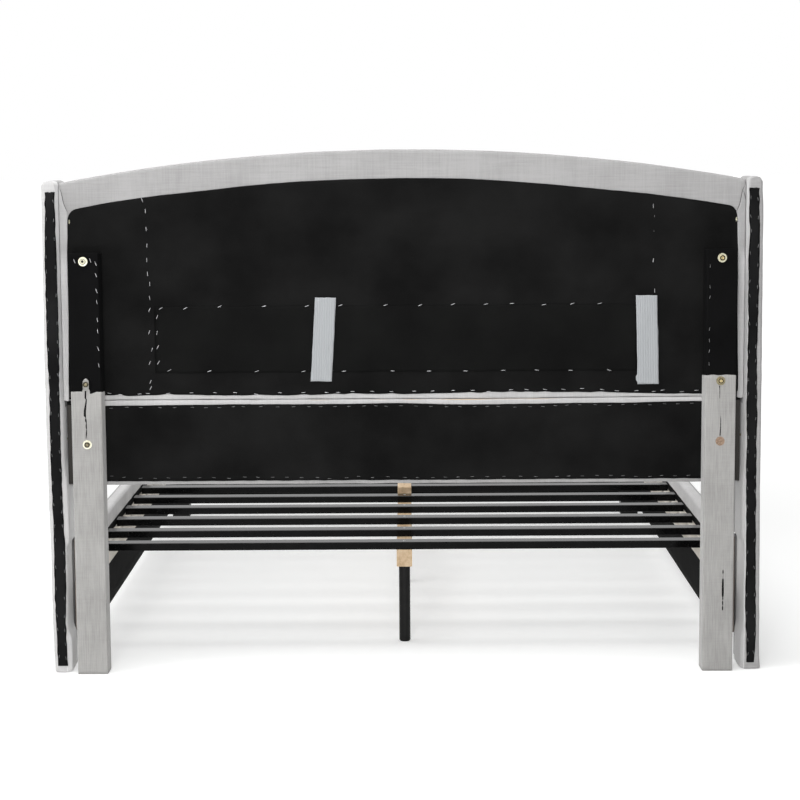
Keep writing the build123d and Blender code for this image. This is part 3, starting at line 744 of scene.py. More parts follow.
# Top edge of the lower lining
LOWER_LINING_TOP = [
    (-684, 644.3), (-650, 644.0), (-617, 643.3), (-584, 642.7), (-550, 641.5), (-517, 641.2), (-450, 641.6),
    (-383, 641.2), (-350, 640.6), (-317, 640.1), (-250, 639.9), (-216, 639.5), (-150, 639.2), (-116, 639.6),
    (-83, 640.4), (-49, 641.6), (-16, 642.8), (17, 643.5), (51, 643.0), (118, 642.2), (184, 641.9),
    (352, 642.3), (385, 642.8), (452, 642.1), (552, 641.7), (619, 641.1), (652, 641.0),
]


def lower_lining_spot(x, share):
    """A point of the lower lining."""
    # Painted shade: at its ends the lining reaches 12 mm higher and 6 mm lower, a dark sheet in the gap
    # between the posts and the wings
    ends = ease(780.0, 786.0, abs(x))
    bottom = 457.8 + 1.4 * wobble(x, 0.0, 52.0, 30.0) - 6.0 * ends
    top = knots(x, LOWER_LINING_TOP) + 0.5 * wobble(x, 9.0, 52.0, 20.0) + 12.0 * ends
    z = bottom + (top - bottom) * share
    slack = 0.7 + 0.9 * wobble(x, z, 61.0, 120.0)
    slack *= ease(0.0, 25.0, top - z) * ease(0.0, 25.0, z - bottom)
    if abs(x) > POST_IN - 6.0:
        slack = min(slack, 0.2)
    return world(x, LINING_DEPTH - max(slack, -0.3), z)


across = lines(-LOWER_HALF + 1.0, LOWER_HALF - 1.0, 12.0, 24.0, 6)
lower_lining = grid("lower_lining", across, shares(20), lower_lining_spot, LINING)
paint(lower_lining, [END_SHADE], lambda face: abs(face.center.x) > 0.7885 and face.center.z < 0.648)
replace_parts(lower_lining, "lower_dust_cover")


# Patch and straps
PATCH_MIDDLE = 15.0
PATCH_HALF = 575.0
PATCH_LOW = 719.0
PATCH_HIGH = 877.5


def patch_spot(x, share):
    """A point of the patch, its edges drawn in a little between staples."""
    bottom = PATCH_LOW + 1.6 * wobble(x, 0.0, 83.0, 55.0)
    top = PATCH_HIGH + 1.8 * wobble(x, 7.0, 83.0, 60.0)
    z = bottom + (top - bottom) * share
    out = abs(x - PATCH_MIDDLE)
    side_pull = ease(PATCH_HALF - 30.0, PATCH_HALF, out) * 1.5 * wobble(0.0, z, 88.0, 30.0)
    slack = 1.0 + wobble(x, z, 91.0, 110.0)
    slack *= ease(0.0, 22.0, top - z) * ease(0.0, 22.0, z - bottom)
    slack *= ease(0.0, 22.0, PATCH_HALF - out)
    rise = max(0.0, min(slack, 2.0))
    return world(x + side_pull, PATCH_DEPTH - rise * 0.8, z)


across = lines(PATCH_MIDDLE - PATCH_HALF, PATCH_MIDDLE + PATCH_HALF, 10.0)
patch = grid("lining_patch", across, shares(22), patch_spot, PATCH)
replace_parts(patch, "back_patch")


def strap(name, centre, low, high, lean, width, nicked):
    """A webbing strap with turned ends, standing slightly proud between its ends."""
    length = high - low
    slope = -math.tan(math.radians(lean))

    def spot(a, share):
        z = low + length * share
        x = centre + a + (share - 0.5) * length * slope
        x += 0.8 * wobble(z, a, 14.0, 35.0)
        lift = 2.6 * math.sin(math.pi * share) ** 0.7 + 0.5 * wobble(a, z, 4.0, 30.0)
        if nicked and a > width / 2 - 4.0 and 0.03 < share < 0.1:
            x += 3.0
        ends = 0.9 * (ease(0.05, 0.0, share) + ease(0.95, 1.0, share))
        z += 0.9 * wobble(a, z, 6.0, 20.0) * ease(0.3, 0.5, abs(share - 0.5))
        return world(x, STRAP_DEPTH - lift - ends, z)

    made = grid(name, lines(-width / 2, width / 2, 4.0), shares(44), spot, WEBBING, 1.5)
    return made


# Name, middle, lower and upper end, lean in degrees, width, and whether one edge is nicked
STRAPS = (
    ("strap_left", 188.7, 697.0, 896.8, 3.45, 49.8, False),
    ("strap_right", -580.1, 686.0, 897.8, -1.5, 50.2, True),
)
for measures in STRAPS:
    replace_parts(strap(*measures), "back_straps")


# Posts: grey sleeves below, black wraps above
# A post's back face, from its middle, and the height under which nothing stands against it
BACK_FACE = -27.0
FREE_BELOW = 440.0
bolt_places = [(0.0, z) for z in BOLT_HEIGHTS]


def post_swell(side, px, pd, z, sag, over, tuck):
    """How far a post's cloth stands off the wood."""
    swell = sag * (0.5 * wobble(px + side * 90, z, pd, 70.0) + 0.4 * wobble(px, z * 0.3, pd, 26.0))
    if pd < BACK_FACE:
        swell = min(swell, sag * 3.0) * (1.0 - near(px, z, bolt_places, 14.0)) + over
    elif z > FREE_BELOW:
        swell = min(swell, 0.2)
    else:
        swell *= ease(FREE_BELOW, FREE_BELOW - 40.0, z)
    return swell - 0.3 * ease(tuck + 1.0, tuck - 1.0, z)


def tube(name, side, low_edge, high_edge, surface, sag, thick=1.3, close_top=False, over=0.0, tuck=0.0):
    """Cloth round a post; the edges are functions of the place round it."""
    half_x = (POST_OUT - POST_IN) / 2 - 0.5
    half_d = POST_THICK / 2
    corner_r = 3.5
    flat_x = half_x - corner_r
    flat_d = half_d - corner_r
    outline = []
    for cx, cd, start in ((1, -1, -90), (1, 1, 0), (-1, 1, 90), (-1, -1, 180)):
        for share in shares(4):
            angle = math.radians(start + 90 * share)
            px = cx * flat_x + corner_r * math.cos(angle)
            outline.append((px, cd * flat_d + corner_r * math.sin(angle)))
    points = []
    for (x0, d0), (x1, d1) in zip(outline, outline[1:] + outline[:1]):
        gap = math.hypot(x1 - x0, d1 - d0)
        count = max(1, round(gap / (1.6 if d0 < 0 and d1 < 0 else 8.0)))
        points += [(x0 + (x1 - x0) * n / count, d0 + (d1 - d0) * n / count) for n in range(count)]
    mesh = bmesh.new()
    rows = []
    for share in shares(100):
        row = []
        for px, pd in points:
            bottom = low_edge(px, pd)
            top = high_edge(px, pd)
            z = bottom + (top - bottom) * share
            away = Vector((px, pd, 0)).normalized()
            swell = post_swell(side, px, pd, z, sag, over, tuck)
            sideways = 0.35 + 0.25 * max(swell, 0.0) if over else max(min(swell, 0.3), -0.2)
            x = side * POST_MIDDLE + px + away.x * sideways
            depth = half_d + pd + min(away.y * swell, 0.2 if z > FREE_BELOW else 9.0)
            row.append(mesh.verts.new(world(x, depth, z)))
        rows.append(row)
    skin(mesh, rows, True)
    if close_top:
        mesh.faces.new(rows[-1])
    return sheet(name, mesh, surface, thick, -1.0)


def ragged_right(px, pd):
    """Top of the sleeve at the picture's left, with a tongue round its bolt."""
    edge = 681.8 + 0.7 * wobble(px, pd, 3.0, 12.0) - 0.12 * max(pd - BACK_FACE, 0.0)
    if pd < 0:
        if abs(px) < 8.2:
            edge = knots(abs(px), [(0.0, 713.0), (2.6, 712.0), (5.6, 708.0), (7.4, 696.0), (8.2, 682.0)])
        elif px < 0:
            edge -= 1.0 + 4.2 * ease(-27.0, -9.0, px)
    return edge


def ragged_left(px, pd):
    """Top of the sleeve at the picture's right."""
    return 712.4 + 1.3 * wobble(px, pd, 8.0, 16.0) - 0.12 * max(pd - BACK_FACE, 0.0)


def hem_low(px, pd):
    """Bottom edge of a sleeve, just above the floor."""
    return 0.5 + 0.3 * wobble(px, pd, 31.0, 20.0)


# How far a wrap runs down behind its sleeve
WRAP_LAP = 40.0
for side, label, ragged, split in ((1, "right", ragged_right, 680.0), (-1, "left", ragged_left, 714.0)):
    sleeve = tube("post_sleeve_cloth_" + label, side, hem_low, ragged, SLEEVE, 1.0, over=0.8)
    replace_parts(sleeve, "post_sleeve_" + label)

    wrap = tube(
        "post_wrap_cloth_" + label,
        side,
        lambda px, pd: split - WRAP_LAP,
        lambda px, pd: POST_TOP - 1.0 + 0.8 * wobble(px, pd, 44.0, 18.0),
        WRAP,
        0.5,
        0.8,
        True,
        tuck=split + 2.0,
    )
    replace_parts(wrap, "post_wrap_" + label)


# Open seams in the sleeves, drawn as black strips of painted shade
def along_line(spots, share):
    """Height, middle and width a share of the way along spots of height, place across and width."""
    z = spots[0][0] + (spots[-1][0] - spots[0][0]) * share
    middle = knots(z, [(height, x) for height, x, width in spots])
    return z, middle, knots(z, [(height, width) for height, x, width in spots])


def slit(name, side, spots):
    """A black strip on a sleeve: painted shade in an open seam."""

    def spot(t, share):
        z, middle, width = along_line(spots, share)
        x = middle + (t - 0.5) * (width + 0.5 * wobble(z, t, 5.0, 3.0))
        lift = post_swell(side, side * (x - POST_MIDDLE), -POST_THICK / 2, z, 1.0, 0.8, 0.0)
        return world(side * x, -lift - 0.25, z)

    made = grid(name, shares(3), shares(90), spot, WRAP, 0.5)


SLIT_RIGHT = [
    (570.5, 750.2, 0.9), (582.7, 748.8, 2.6), (591.8, 748.2, 1.3), (599.4, 749.0, 3.0), (607.0, 748.5, 1.1),
    (613.0, 749.6, 4.0), (619.9, 749.7, 0.8), (624.0, 751.6, 5.0), (636.0, 751.3, 4.8), (651.0, 748.9, 3.4),
    (663.0, 747.1, 2.0), (666.2, 749.3, 3.4), (683.4, 748.5, 3.9),
]
SLIT_LEFT_HIGH = [(657.0, 745.6, 0.5), (680.0, 745.3, 1.0), (687.0, 744.6, 2.4)]
SLIT_LEFT_LOW = [(568.6, 747.1, 2.2), (584.6, 748.0, 1.8), (604.3, 748.5, 1.2), (615.0, 748.3, 0.5)]
TEAR_X = POST_MIDDLE + 11.0
TEAR = [
    (148.0, 2.4), (155.0, 3.0), (159.5, 0.3), (163.0, 2.2), (168.5, 2.6), (171.0, 0.3), (176.0, 2.6),
    (179.0, 1.6), (183.0, 4.2), (205.0, 4.6), (222.0, 3.8), (226.0, 0.5), (235.0, 0.3), (239.0, 2.8),
    (244.0, 2.2), (246.0, 0.8),
]
# Black strips of painted shade in the sleeves' open seams and tear
slit("sleeve_slit_shade_right", 1, SLIT_RIGHT)
slit("sleeve_slit_shade_left_high", -1, SLIT_LEFT_HIGH)
slit("sleeve_tear_shade_left", -1, [(z, TEAR_X, width) for z, width in TEAR])
slit("sleeve_slit_shade_left_low", -1, SLIT_LEFT_LOW)


# Loose cloth over a washer: where it starts beside the bolt, and how far out it reaches
FLAP_START = 7.3
FLAP_REACH = 13.2


def flap(side):
    """The wrap's cloth lying over one side of the washer below it."""

    def spot(t, share):
        z = 686.6 + 25.0 * share
        reach = math.sqrt(max(FLAP_REACH**2 - (z - BOLT_HEIGHTS[1]) ** 2, 8.0**2))
        x = FLAP_START + 0.5 * wobble(z, 0.0, side * 4.0, 4.0) + (reach - FLAP_START) * t
        return world(POST_MIDDLE + side * x, -3.4 + 2.4 * t * t, z)

    name = "washer_flap_" + ("outer" if side > 0 else "inner")
    made = grid(name, shares(6), shares(24), spot, WRAP, 0.7)


flap(1)
flap(-1)


# Shaded lines under the folds at the upper panel's ends
def fold(name, side, depth, spots):
    """The shaded line under a folded edge."""

    def spot(t, share):
        z, middle, width = along_line(spots, share)
        return world(side * (middle + (t - 0.5) * width), depth - 0.3, z)

    return grid(name, shares(2), shares(60), spot, FOLD_SHADE, 0.4)


def fold_spots(side, low, width, swell, length):
    """The line under a fold's slanting edge, widest in its middle."""
    edge = [(z, x) for z, x in FOLDS[side] if z > low - 4.0]
    return [(z, x - 0.6, width + swell * math.sin(math.pi * (z - low) / length)) for z, x in edge]


fold("fold_line_right", 1, PANEL_BACK - 1.3, fold_spots(1, 1104.0, 0.6, 1.5, 53.0))
fold("fold_line_left", -1, PANEL_BACK - 1.3, fold_spots(-1, 1096.0, 0.8, 1.6, 62.0))
SECOND_FOLD = [(1121.0, 809.3, 0.5), (1131.0, 807.6, 1.5), (1143.0, 803.8, 0.6)]
fold("second_fold_line", -1, PANEL_BACK - 3.1, SECOND_FOLD)

# Wings: padded covers with a stapled black strip down the back edge
WING_EDGE = {
    1: [
        (0, 841), (50, 842.8), (200, 844.8), (291, 843.4), (393, 845.6), (500, 846.2), (600, 847.2),
        (750, 847.6), (1080, 845.2), (1122, 844.6),
    ],
    -1: [
        (0, 854.2), (52, 851.2), (155, 850.2), (223, 849.4), (440, 847.8), (727, 847.4), (1000, 846.2),
        (1110, 845.8), (1140, 843.4),
    ],
}
STRIP_IN = {
    1: [
        (18, 810), (121, 811.6), (257, 807.9), (426, 811.9), (561, 812.8), (694, 812.6), (827, 810.2),
        (1057, 812), (1150, 812.4),
    ],
    -1: [
        (18, 820.2), (86, 818.4), (155, 814.6), (291, 815.6), (494, 812.2), (561, 813.4), (628, 811.2),
        (794, 812.6), (991, 811.2), (1040, 814.2), (1089, 811.2),
    ],
}
STRIP_OUT = {
    1: [
        (18, 833), (180, 836.6), (310, 835.3), (494, 837.7), (690, 837), (760, 839), (990, 839),
        (1057, 837.2), (1140, 834.4),
    ],
    -1: [
        (18, 837.8), (86, 841.9), (155, 840.4), (257, 838), (393, 837.7), (561, 835.6), (628, 837.2),
        (761, 834), (920, 836.4), (1057, 836.8), (1140, 834),
    ],
}
STRIP_LOW = 17.0
STRIP_TOP = 1149.5
WING_CROWN = {1: 4.2, -1: 4.9}


def wing_shape(side):
    """Rounded padding that swells where nothing holds it."""

    def shape(x, depth, z):
        low = (WING_IN + 0.3, WING_BACK, WING_BOTTOM)
        high = (WING_OUT, WING_FRONT, WING_TOP)
        flat = 3.0 if x < WING_MIDDLE and depth < 90.0 else 8.0
        x1, d1, z1 = pillowed((x, depth, z), low, high, (flat, flat, 8.0))
        inner = ease(WING_MIDDLE, WING_IN, x)
        outer = ease(WING_MIDDLE, WING_OUT, x)
        free = ease(664.0, 640.0, z1) * (ease(126.0, 112.0, depth) if z1 < 304.0 or z1 > 448.0 else 1.0)
        over_rail = 1.0 - ease(44.0, 60.0, z1) * ease(313.0, 308.0, z1) * ease(116.0, 128.0, depth)
        over = (7.0 if side > 0 else 5.5) * ease(303.0, 314.0, z1) * ease(520.0, 440.0, z1)
        under = (7.5 if side > 0 else 5.0) * ease(104.0, 78.0, z1)
        usual = (2.6 if side > 0 else 0.9) * (0.8 + 0.3 * wobble(z1, depth, side * 5.0, 170.0))
        if z1 > 440.0:
            usual += 1.6 * ease(440.0, 520.0, z1)
        swell = (usual + over + under) * inner * free * over_rail
        swell += 2.0 * inner * ease(664.0, 700.0, z1) * ease(128.0, 150.0, depth)
        x1 -= swell * ease(WING_BACK + 2.0, WING_BACK + 16.0, d1)
        drawn = min(knots(z1, STRIP_IN[side]) - 811.5, 1.2)
        x1 += inner * drawn * ease(660.0, 640.0, z1) * ease(60.0, 20.0, depth)
        x1 += outer * (knots(z1, WING_EDGE[side]) - WING_OUT + 0.4 * wobble(z1, depth, 40.0, 60.0))
        across = (x - WING_MIDDLE) / 18.0
        z1 += (WING_CROWN[side] * (1.0 - across * across) - 0.5) * ease(1140.0, WING_TOP, z1)
        if depth < WING_BACK + 12.0:
            x1 += 0.5 * wobble(z1, 0.0, 12.0 + side, 24.0) * (outer if z1 > 650.0 else 1.0)
            d1 += 0.6 * wobble(z1, x, 17.0, 22.0)
        d1 += 1.6 * ease(70.0, 10.0, z1) * wobble(z1, x, 27.0 + side, 12.0)
        z1 -= (4.6 if side > 0 else 6.0) * ease(60.0, 12.0, z1)
        z1 += 1.2 * ease(24.0, 4.0, z1) * wobble(x, depth, 61.0, 9.0)
        z1 = max(z1, 0.8)
        return side * x1, max(d1, WING_BACK - 0.6), z1

    return shape


def strip_spot(side):
    """A point of a black strip, scalloped between its staples."""

    def spot(a, share):
        z = STRIP_LOW + (STRIP_TOP - STRIP_LOW) * share
        first = knots(z, STRIP_IN[side]) + 1.5 * wobble(z, 3.0, 100.0 + side, 19.0)
        last = knots(z, STRIP_OUT[side]) + 1.6 * wobble(z, 9.0, 140.0 + side, 19.0)
        x = max(first + (last - first) * a, WING_IN - 0.6 if z > 650.0 else 0.0)
        z += 1.6 * wobble(x, 0.0, 33.0 + side, 5.0) * ease(0.995, 1.0, share)
        edge = abs(a - 0.5) * 2.0
        lift = 1.1 + 0.6 * wobble(z, a * 20.0, 7.0 + side, 14.0)
        return world(side * x, WING_BACK - 0.6 - max(0.0, lift) * (1.1 - 0.8 * edge * edge), z)

    return spot


strip_staples = []
for side, label in SIDES:
    wing = padding(
        "wing_padded_" + label,
        (WING_IN, WING_OUT, 6.0, 10.0, 4),
        (WING_BACK, WING_FRONT, 10.0, 14.0, 5),
        (WING_BOTTOM, WING_TOP + 2.0, 9.0, 14.0, 5),
        wing_shape(side),
        GREY,
    )

    def wing_surface_painted_light(face):
        reach = 57.0 if face.center.z > 0.64 else 120.0
        faces_in = abs(face.center.x) < 0.8255 and face.normal.x * side < -0.2
        if faces_in and face.center.y > (BACK_Y - reach) / 1000:
            return 1
        return 2 if face.center.y > (BACK_Y - WING_BACK - 9.0) / 1000 else 0

    # Painted light: inward faces near the back take the paler sheen copy, and the back of the wing at the
    # picture's left the paler back copy
    paint(wing, [WING_INSIDE_PAINTED_LIGHT[side], WING_BACK_PAINTED_LIGHT if side > 0 else GREY], wing_surface_painted_light)
    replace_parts(wing, "wing_cover_" + label)
    across = [0.0, 0.07, 0.14, 0.3, 0.5, 0.7, 0.86, 0.93, 1.0]
    strip = grid("wing_strip_cloth_" + label, across, shares(300), strip_spot(side), STRIP, 0.9)
    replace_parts(strip, "wing_strips")

    def painted_shade_edge(face):
        z = face.center.z * 1000
        x = abs(face.center.x) * 1000
        return min(x - knots(z, STRIP_IN[side]), knots(z, STRIP_OUT[side]) - x) < 2.4

    # Painted shade: the strip's edges take the darker black of the wraps
    paint(strip, [WRAP], painted_shade_edge)
    for edge in (-1, 1):
        z = 30.0 + random.uniform(0.0, 20.0)
        while z < 1140.0:
            x = knots(z, STRIP_IN[side] if edge < 0 else STRIP_OUT[side]) - edge * 3.4
            strip_staples.append((side * x, WING_BACK - 1.6, z, random.uniform(-16, 16)))
            z += random.choice([34.0, 44.0, 52.0, 66.0])


# Side rails and footboard: padded covers with black lining inside
INSIDE_LOW = 64.0
INSIDE_HIGH = 267.5
RAIL_MIDDLE = 792.0


def rail_shape(side):
    """Soft rounded top and swelling sides."""

    def shape(x, depth, z):
        low = (RAIL_IN, RAIL_NEAR, RAIL_BOTTOM)
        high = (RAIL_OUT, FOOT_IN, RAIL_TOP)
        radius = 10.0 if z > 200.0 else 5.0
        x1, d1, z1 = pillowed((x, depth, z), low, high, (radius, 3.0, radius))
        outer = ease(RAIL_MIDDLE, RAIL_OUT, x)
        inner = ease(RAIL_MIDDLE, RAIL_IN, x)
        x1 += outer * 3.0 * ease(60.0, 110.0, z) * ease(310.0, 260.0, z) * ease(170.0, 300.0, depth)
        x1 += outer * 0.8 * wobble(depth, z, side * 3.0, 240.0)
        x1 -= inner * 0.9 * wobble(depth, z, side * 6.0, 120.0) * ease(262.0, 290.0, z)
        z1 += 1.0 * ease(250.0, 308.0, z) * wobble(depth, 0.0, side * 8.0, 210.0)
        if z < 266.0 and x < 777.0:
            x1 = max(x1, RAIL_IN + 0.9)
        return side * x1, d1, min(z1, RAIL_TOP + 1.5)

    return shape


def inner_cloth(along, share, hem, face):
    """Height and slack of the black lining inside a rail or the footboard; hem and face pick the noise."""
    z = INSIDE_LOW + (INSIDE_HIGH - INSIDE_LOW) * share
    z += 1.2 * wobble(along, 0.0, hem, 60.0) * ease(0.9, 1.0, share)
    return z, 0.3 * wobble(along, z, face, 90.0)


def rail_lining_spot(side):
    """A point of the black lining inside a rail."""

    def spot(depth, share):
        z, slack = inner_cloth(depth, share, 5.0 + side, side * 2.0)
        return world(side * (RAIL_IN + 0.5 + slack), depth, z)

    return spot


def rail_surface_painted_shade(face):
    """Raw board at the head end with a black strip of painted shade along its outer edge, and the darker
    grey of the footboard's cloth on the outer faces as painted shade.
    """
    if face.center.y > (BACK_Y - RAIL_NEAR - 1.2) / 1000 and face.center.z < 0.302:
        return 2 if abs(face.center.x) > 0.8065 else 1
    return 3 if abs(face.center.x) > 0.8 else 0


for side, label in SIDES:
    rail = padding(
        "rail_padded_" + label,
        (RAIL_IN, RAIL_OUT, 6.0, 10.0, 4),
        (RAIL_NEAR, FOOT_IN, 22.0, 6.0, 2),
        (RAIL_BOTTOM, RAIL_TOP, 12.0, 12.0, 4),
        rail_shape(side),
        RAIL_PAINTED_LIGHT,
    )
    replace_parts(rail, "rail_cover_" + label)
    # Painted shade: darker grey on the outer faces, and black lining cloth in the shadow gap at the head
    # end's outer edge
    paint(rail, [RAW_END, INNER_LINING, GREY], rail_surface_painted_shade)
    along = lines(RAIL_NEAR + 1.0, FOOT_IN - 1.0, 30.0)
    inside = grid("rail_lining_cloth_" + label, along, shares(10), rail_lining_spot(side), INNER_LINING)
    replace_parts(inside, "rail_linings")


def foot_shape(x, depth, z):
    """Footboard cover with rounded upright edges and a soft front."""
    low = (-RAIL_OUT, FOOT_IN, RAIL_BOTTOM)
    high = (RAIL_OUT, FOOT_OUT, RAIL_TOP)
    radius = 10.0 if z > 200.0 else 6.0
    x1, d1, z1 = pillowed((x, depth, z), low, high, (radius, radius, radius))
    front = ease(2185.0, FOOT_OUT, depth)
    d1 += front * 2.6 * ease(60.0, 115.0, z) * ease(310.0, 255.0, z) * ease(0.0, 90.0, RAIL_OUT - abs(x))
    d1 += front * 0.8 * wobble(x, z, 71.0, 220.0)
    z1 += 0.9 * ease(250.0, 308.0, z) * wobble(x, 0.0, 75.0, 200.0)
    if z < 266.0 and abs(x) < RAIL_IN and depth < 2174.0:
        d1 = max(d1, FOOT_IN + 0.9)
    return x1, d1, min(z1, RAIL_TOP + 1.5)


foot = padding(
    "foot_padded",
    (-RAIL_OUT, RAIL_OUT, 20.0, 12.0, 4),
    (FOOT_IN, FOOT_OUT, 6.0, 10.0, 4),
    (RAIL_BOTTOM, RAIL_TOP, 12.0, 12.0, 4),
    foot_shape,
    GREY,
)
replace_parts(foot, "foot_cover")


def foot_lining_spot(x, share):
    """A point of the black lining inside the footboard."""
    z, slack = inner_cloth(x, share, 95.0, 96.0)
    return world(x, FOOT_IN + 0.4 + slack, z)


across = lines(-RAIL_IN, RAIL_IN, 30.0)
foot_cloth = grid("foot_lining_cloth", across, shares(10), foot_lining_spot, INNER_LINING)
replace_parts(foot_cloth, "foot_lining")

# Staples
staples("stile_staples", [(x, 56.3, z, lean) for x, z, lean in STILE_STAPLES])
staples("patch_staples", [(x, 53.6, z, lean) for x, z, lean in PATCH_STAPLES])
rows = [(x, 56.4, z, 90.0 + random.uniform(-9.0, 9.0)) for x, z in HEM_STAPLES]
staples("upper_seam_staples", rows, 10.0, 1.1, 0.6)
rows = [(x, 56.6, z, 90.0 + random.uniform(-9.0, 9.0)) for x, z in LOWER_TOP_STAPLES + LOWER_HEM_STAPLES]
staples("lower_seam_staples", rows, 9.0, 0.9, 0.5, DULL_STAPLE)
rows = [(x, 56.3, z, lean) for x, z, lean in FAINT_STAPLES]
staples("faint_staples", rows, 8.5, 1.1, 0.6, DULL_STAPLE)
rows = []
for name, centre, low, high, *rest in STRAPS:
    for z in (low + 7.0, high - 7.0):
        slant = (centre > 0) * (z - (low + high) / 2) * -0.057
        for step in (-17.0, 16.0):
            rows.append((centre + slant + step, 51.3, z, 58.0 + step))
staples("strap_staples", rows, 7.0, 1.0, 0.5)
rows = []
for z in (983, 956, 919, 893, 851, 824, 783, 744):
    rows.append((716.0 + (z - 744) * 0.007, -0.6, z, random.uniform(-22, -6)))
staples("post_staples", rows + [(767.0, -0.6, 989.0, -20.0), (730.0, -0.6, 990.5, -18.0)])
rows = [(-719.5, -0.5, z, random.uniform(-14, 14)) for z in (969, 920, 896, 821, 794, 769, 739)]
staples("faint_post_staples", rows, 8.5, 1.2, 0.6, DULL_STAPLE)
staples("strip_staples", strip_staples, 8.5, 1.1, 0.6, DULL_STAPLE)


# Bolt heads: black rings and a dot of painted shade for their grooves and socket, and brass showing at the
# panel's corners
RING_STEPS = 28
TUBE_STEPS = 8


def ring(mesh, centre, radius, thickness):
    """A torus facing backwards."""
    rows = []
    for turn in range(RING_STEPS):
        angle = math.tau * turn / RING_STEPS
        out = Vector((math.cos(angle), 0.0, math.sin(angle)))
        row = []
        for step in range(TUBE_STEPS):
            bend = math.tau * step / TUBE_STEPS
            point = out * (radius + thickness * math.cos(bend))
            point.y += thickness * 0.5 * math.sin(bend)
            row.append(mesh.verts.new(centre + point / 1000))
        rows.append(row)
    for turn, row in enumerate(rows):
        after = rows[(turn + 1) % RING_STEPS]
        for step in range(TUBE_STEPS):
            next_step = (step + 1) % TUBE_STEPS
            mesh.faces.new([row[step], after[step], after[next_step], row[next_step]])


def button(mesh, centre, half_x, half_y, half_z):
    """A small ellipsoid."""
    size = Matrix.Diagonal((half_x / 1000, half_y / 1000, half_z / 1000, 1.0))
    place = Matrix.Translation(centre) @ size
    bmesh.ops.create_uvsphere(mesh, u_segments=16, v_segments=10, radius=1.0, matrix=place)


BOLT_HIGH, BOLT_MIDDLE, BOLT_LOW = BOLT_HEIGHTS
# Painted shade: raised black rings and a dot stand in for the grooves and socket of the bolt heads
mesh = bmesh.new()
for side, z in ((1, BOLT_MIDDLE), (1, BOLT_LOW), (-1, BOLT_HIGH), (-1, BOLT_MIDDLE)):
    ring(mesh, world(side * POST_MIDDLE, -6.5, z), 5.0, 1.3)
ring(mesh, world(POST_MIDDLE, -6.3, BOLT_HIGH), 6.3, 0.7)
button(mesh, world(POST_MIDDLE + 0.5, -6.6, BOLT_HIGH + 0.5), 2.8, 2.0, 2.8)
piece("bolt_groove_shade", mesh, SOCKET_SHADE)
mesh = bmesh.new()
button(mesh, world(786.2, 55.6, 1079.0), 2.0, 1.8, 5.2)
button(mesh, world(-788.6, 55.4, 1075.5), 2.3, 2.0, 5.6)
corner_bolts = piece("corner_bolt_ends", mesh, DULL_BRASS)
SLATS = ["slat_%02d" % number for number in range(1, 12)]
mesh = bmesh.new()
for name in SLATS:
    slat = nodes[name]
    places = [slat.matrix_world @ Vector(point) for point in slat.bound_box]
    centre = sum(places, Vector()) / 8
    button(mesh, Vector((0.0, centre.y, max(point.z for point in places))), 3.6, 3.6, 0.9)
screws = piece("slat_screws", mesh, ZINC)


# Materials of the nodes that stay as they are
FINISHES = (
    (PINE_X, ["upper_top_rail", "upper_bottom_rail", "upper_middle_rail", "lower_core", "foot_board"]),
    (PINE_Y, ["rail_board_right", "rail_board_left", "beam_head", "beam_foot", "splice_block"]),
    (PINE_Z, ["post_right", "post_left", "upper_outer_stiles", "upper_inner_stiles"]),
    (PINE_Z, ["wing_board_right", "wing_board_left"]),
    (BOARD, ["upper_board"]),
    (LEDGER_PINE, ["ledger_right", "ledger_left"]),
    (LEG, ["foot_blocks", "foot_legs", "centre_leg_head", "centre_leg_middle", "centre_leg_foot"]),
    (SLAT, SLATS),
    (ZINC, ["rail_angles"]),
    (BRASS, ["post_bolts"]),
    (PALE_BRASS, ["post_washers"]),
    (OLD_BRASS, ["wing_bolts"]),
)
for surface, names in FINISHES:
    for name in names:
        for slot in nodes[name].material_slots:
            slot.material = surface

heads = nodes["post_bolts"]
washers = nodes["post_washers"]


def head_surface(face):
    """Brass, dulled by place."""
    spot = heads.matrix_world @ face.center
    if spot.z > 0.9:
        return 2 if spot.x > 0 else 0
    return 1 if spot.x > 0 else 3 if spot.z < 0.6 else 0


def washer_surface(face):
    """Pale brass, dull brass, cloth or copper by place."""
    spot = washers.matrix_world @ face.center
    if spot.x > 0:
        return 3 if 0.6 < spot.z < 0.75 else 0
    return 1 if spot.z > 0.9 else 2 if spot.z > 0.6 else 4


paint(heads, [OLD_BRASS, DULL_BRASS, COPPER], head_surface)
paint(washers, [DULL_BRASS, OLD_BRASS, SLEEVE, COPPER], washer_surface)

# Floor and the pale surroundings
WHITE = (1.0, 1.0, 1.0, 1.0)
FLOOR_SPAN = 90
FLOOR_HEIGHT = -0.0004
floor_material, tree, shader = material("pale_floor")
rays = node(tree, "LightPath", {}).outputs
seen = sums(tree, "ADD", rays["Is Camera Ray"], rays["Is Glossy Ray"])
seen = sums(tree, "ADD", seen, rays["Is Transmission Ray"])
place = node(tree, "TexCoord", {}).outputs["Object"]
reach = node(tree, "VectorMath", {0: place}, operation="LENGTH").outputs["Value"]
fade = mapped(tree, reach, 1.6, 5.0, 0.36, 0.7)
grain = cloud(tree, 30.0, 2.0, 0.5)
colours = ramp(tree, grain, [(0.3, (0.76, 0.765, 0.76)), (0.7, (0.78, 0.785, 0.78))])
feed(tree, shader, {"Base Color": colours, "Roughness": 0.9, "Specular IOR Level": 0.1})
feed(tree, shader, {"Emission Color": WHITE, "Emission Strength": sums(tree, "MULTIPLY", seen, fade)})
mesh = bmesh.new()
for x, y in ((-1, -1), (1, -1), (1, 1), (-1, 1)):
    mesh.verts.new((x * FLOOR_SPAN, y * FLOOR_SPAN, FLOOR_HEIGHT))
mesh.faces.new(mesh.verts)
data = bpy.data.meshes.new("floor")
mesh.to_mesh(data)
mesh.free()
data.materials.append(floor_material)
floor = bpy.data.objects.new("floor", data)
bpy.context.collection.objects.link(floor)

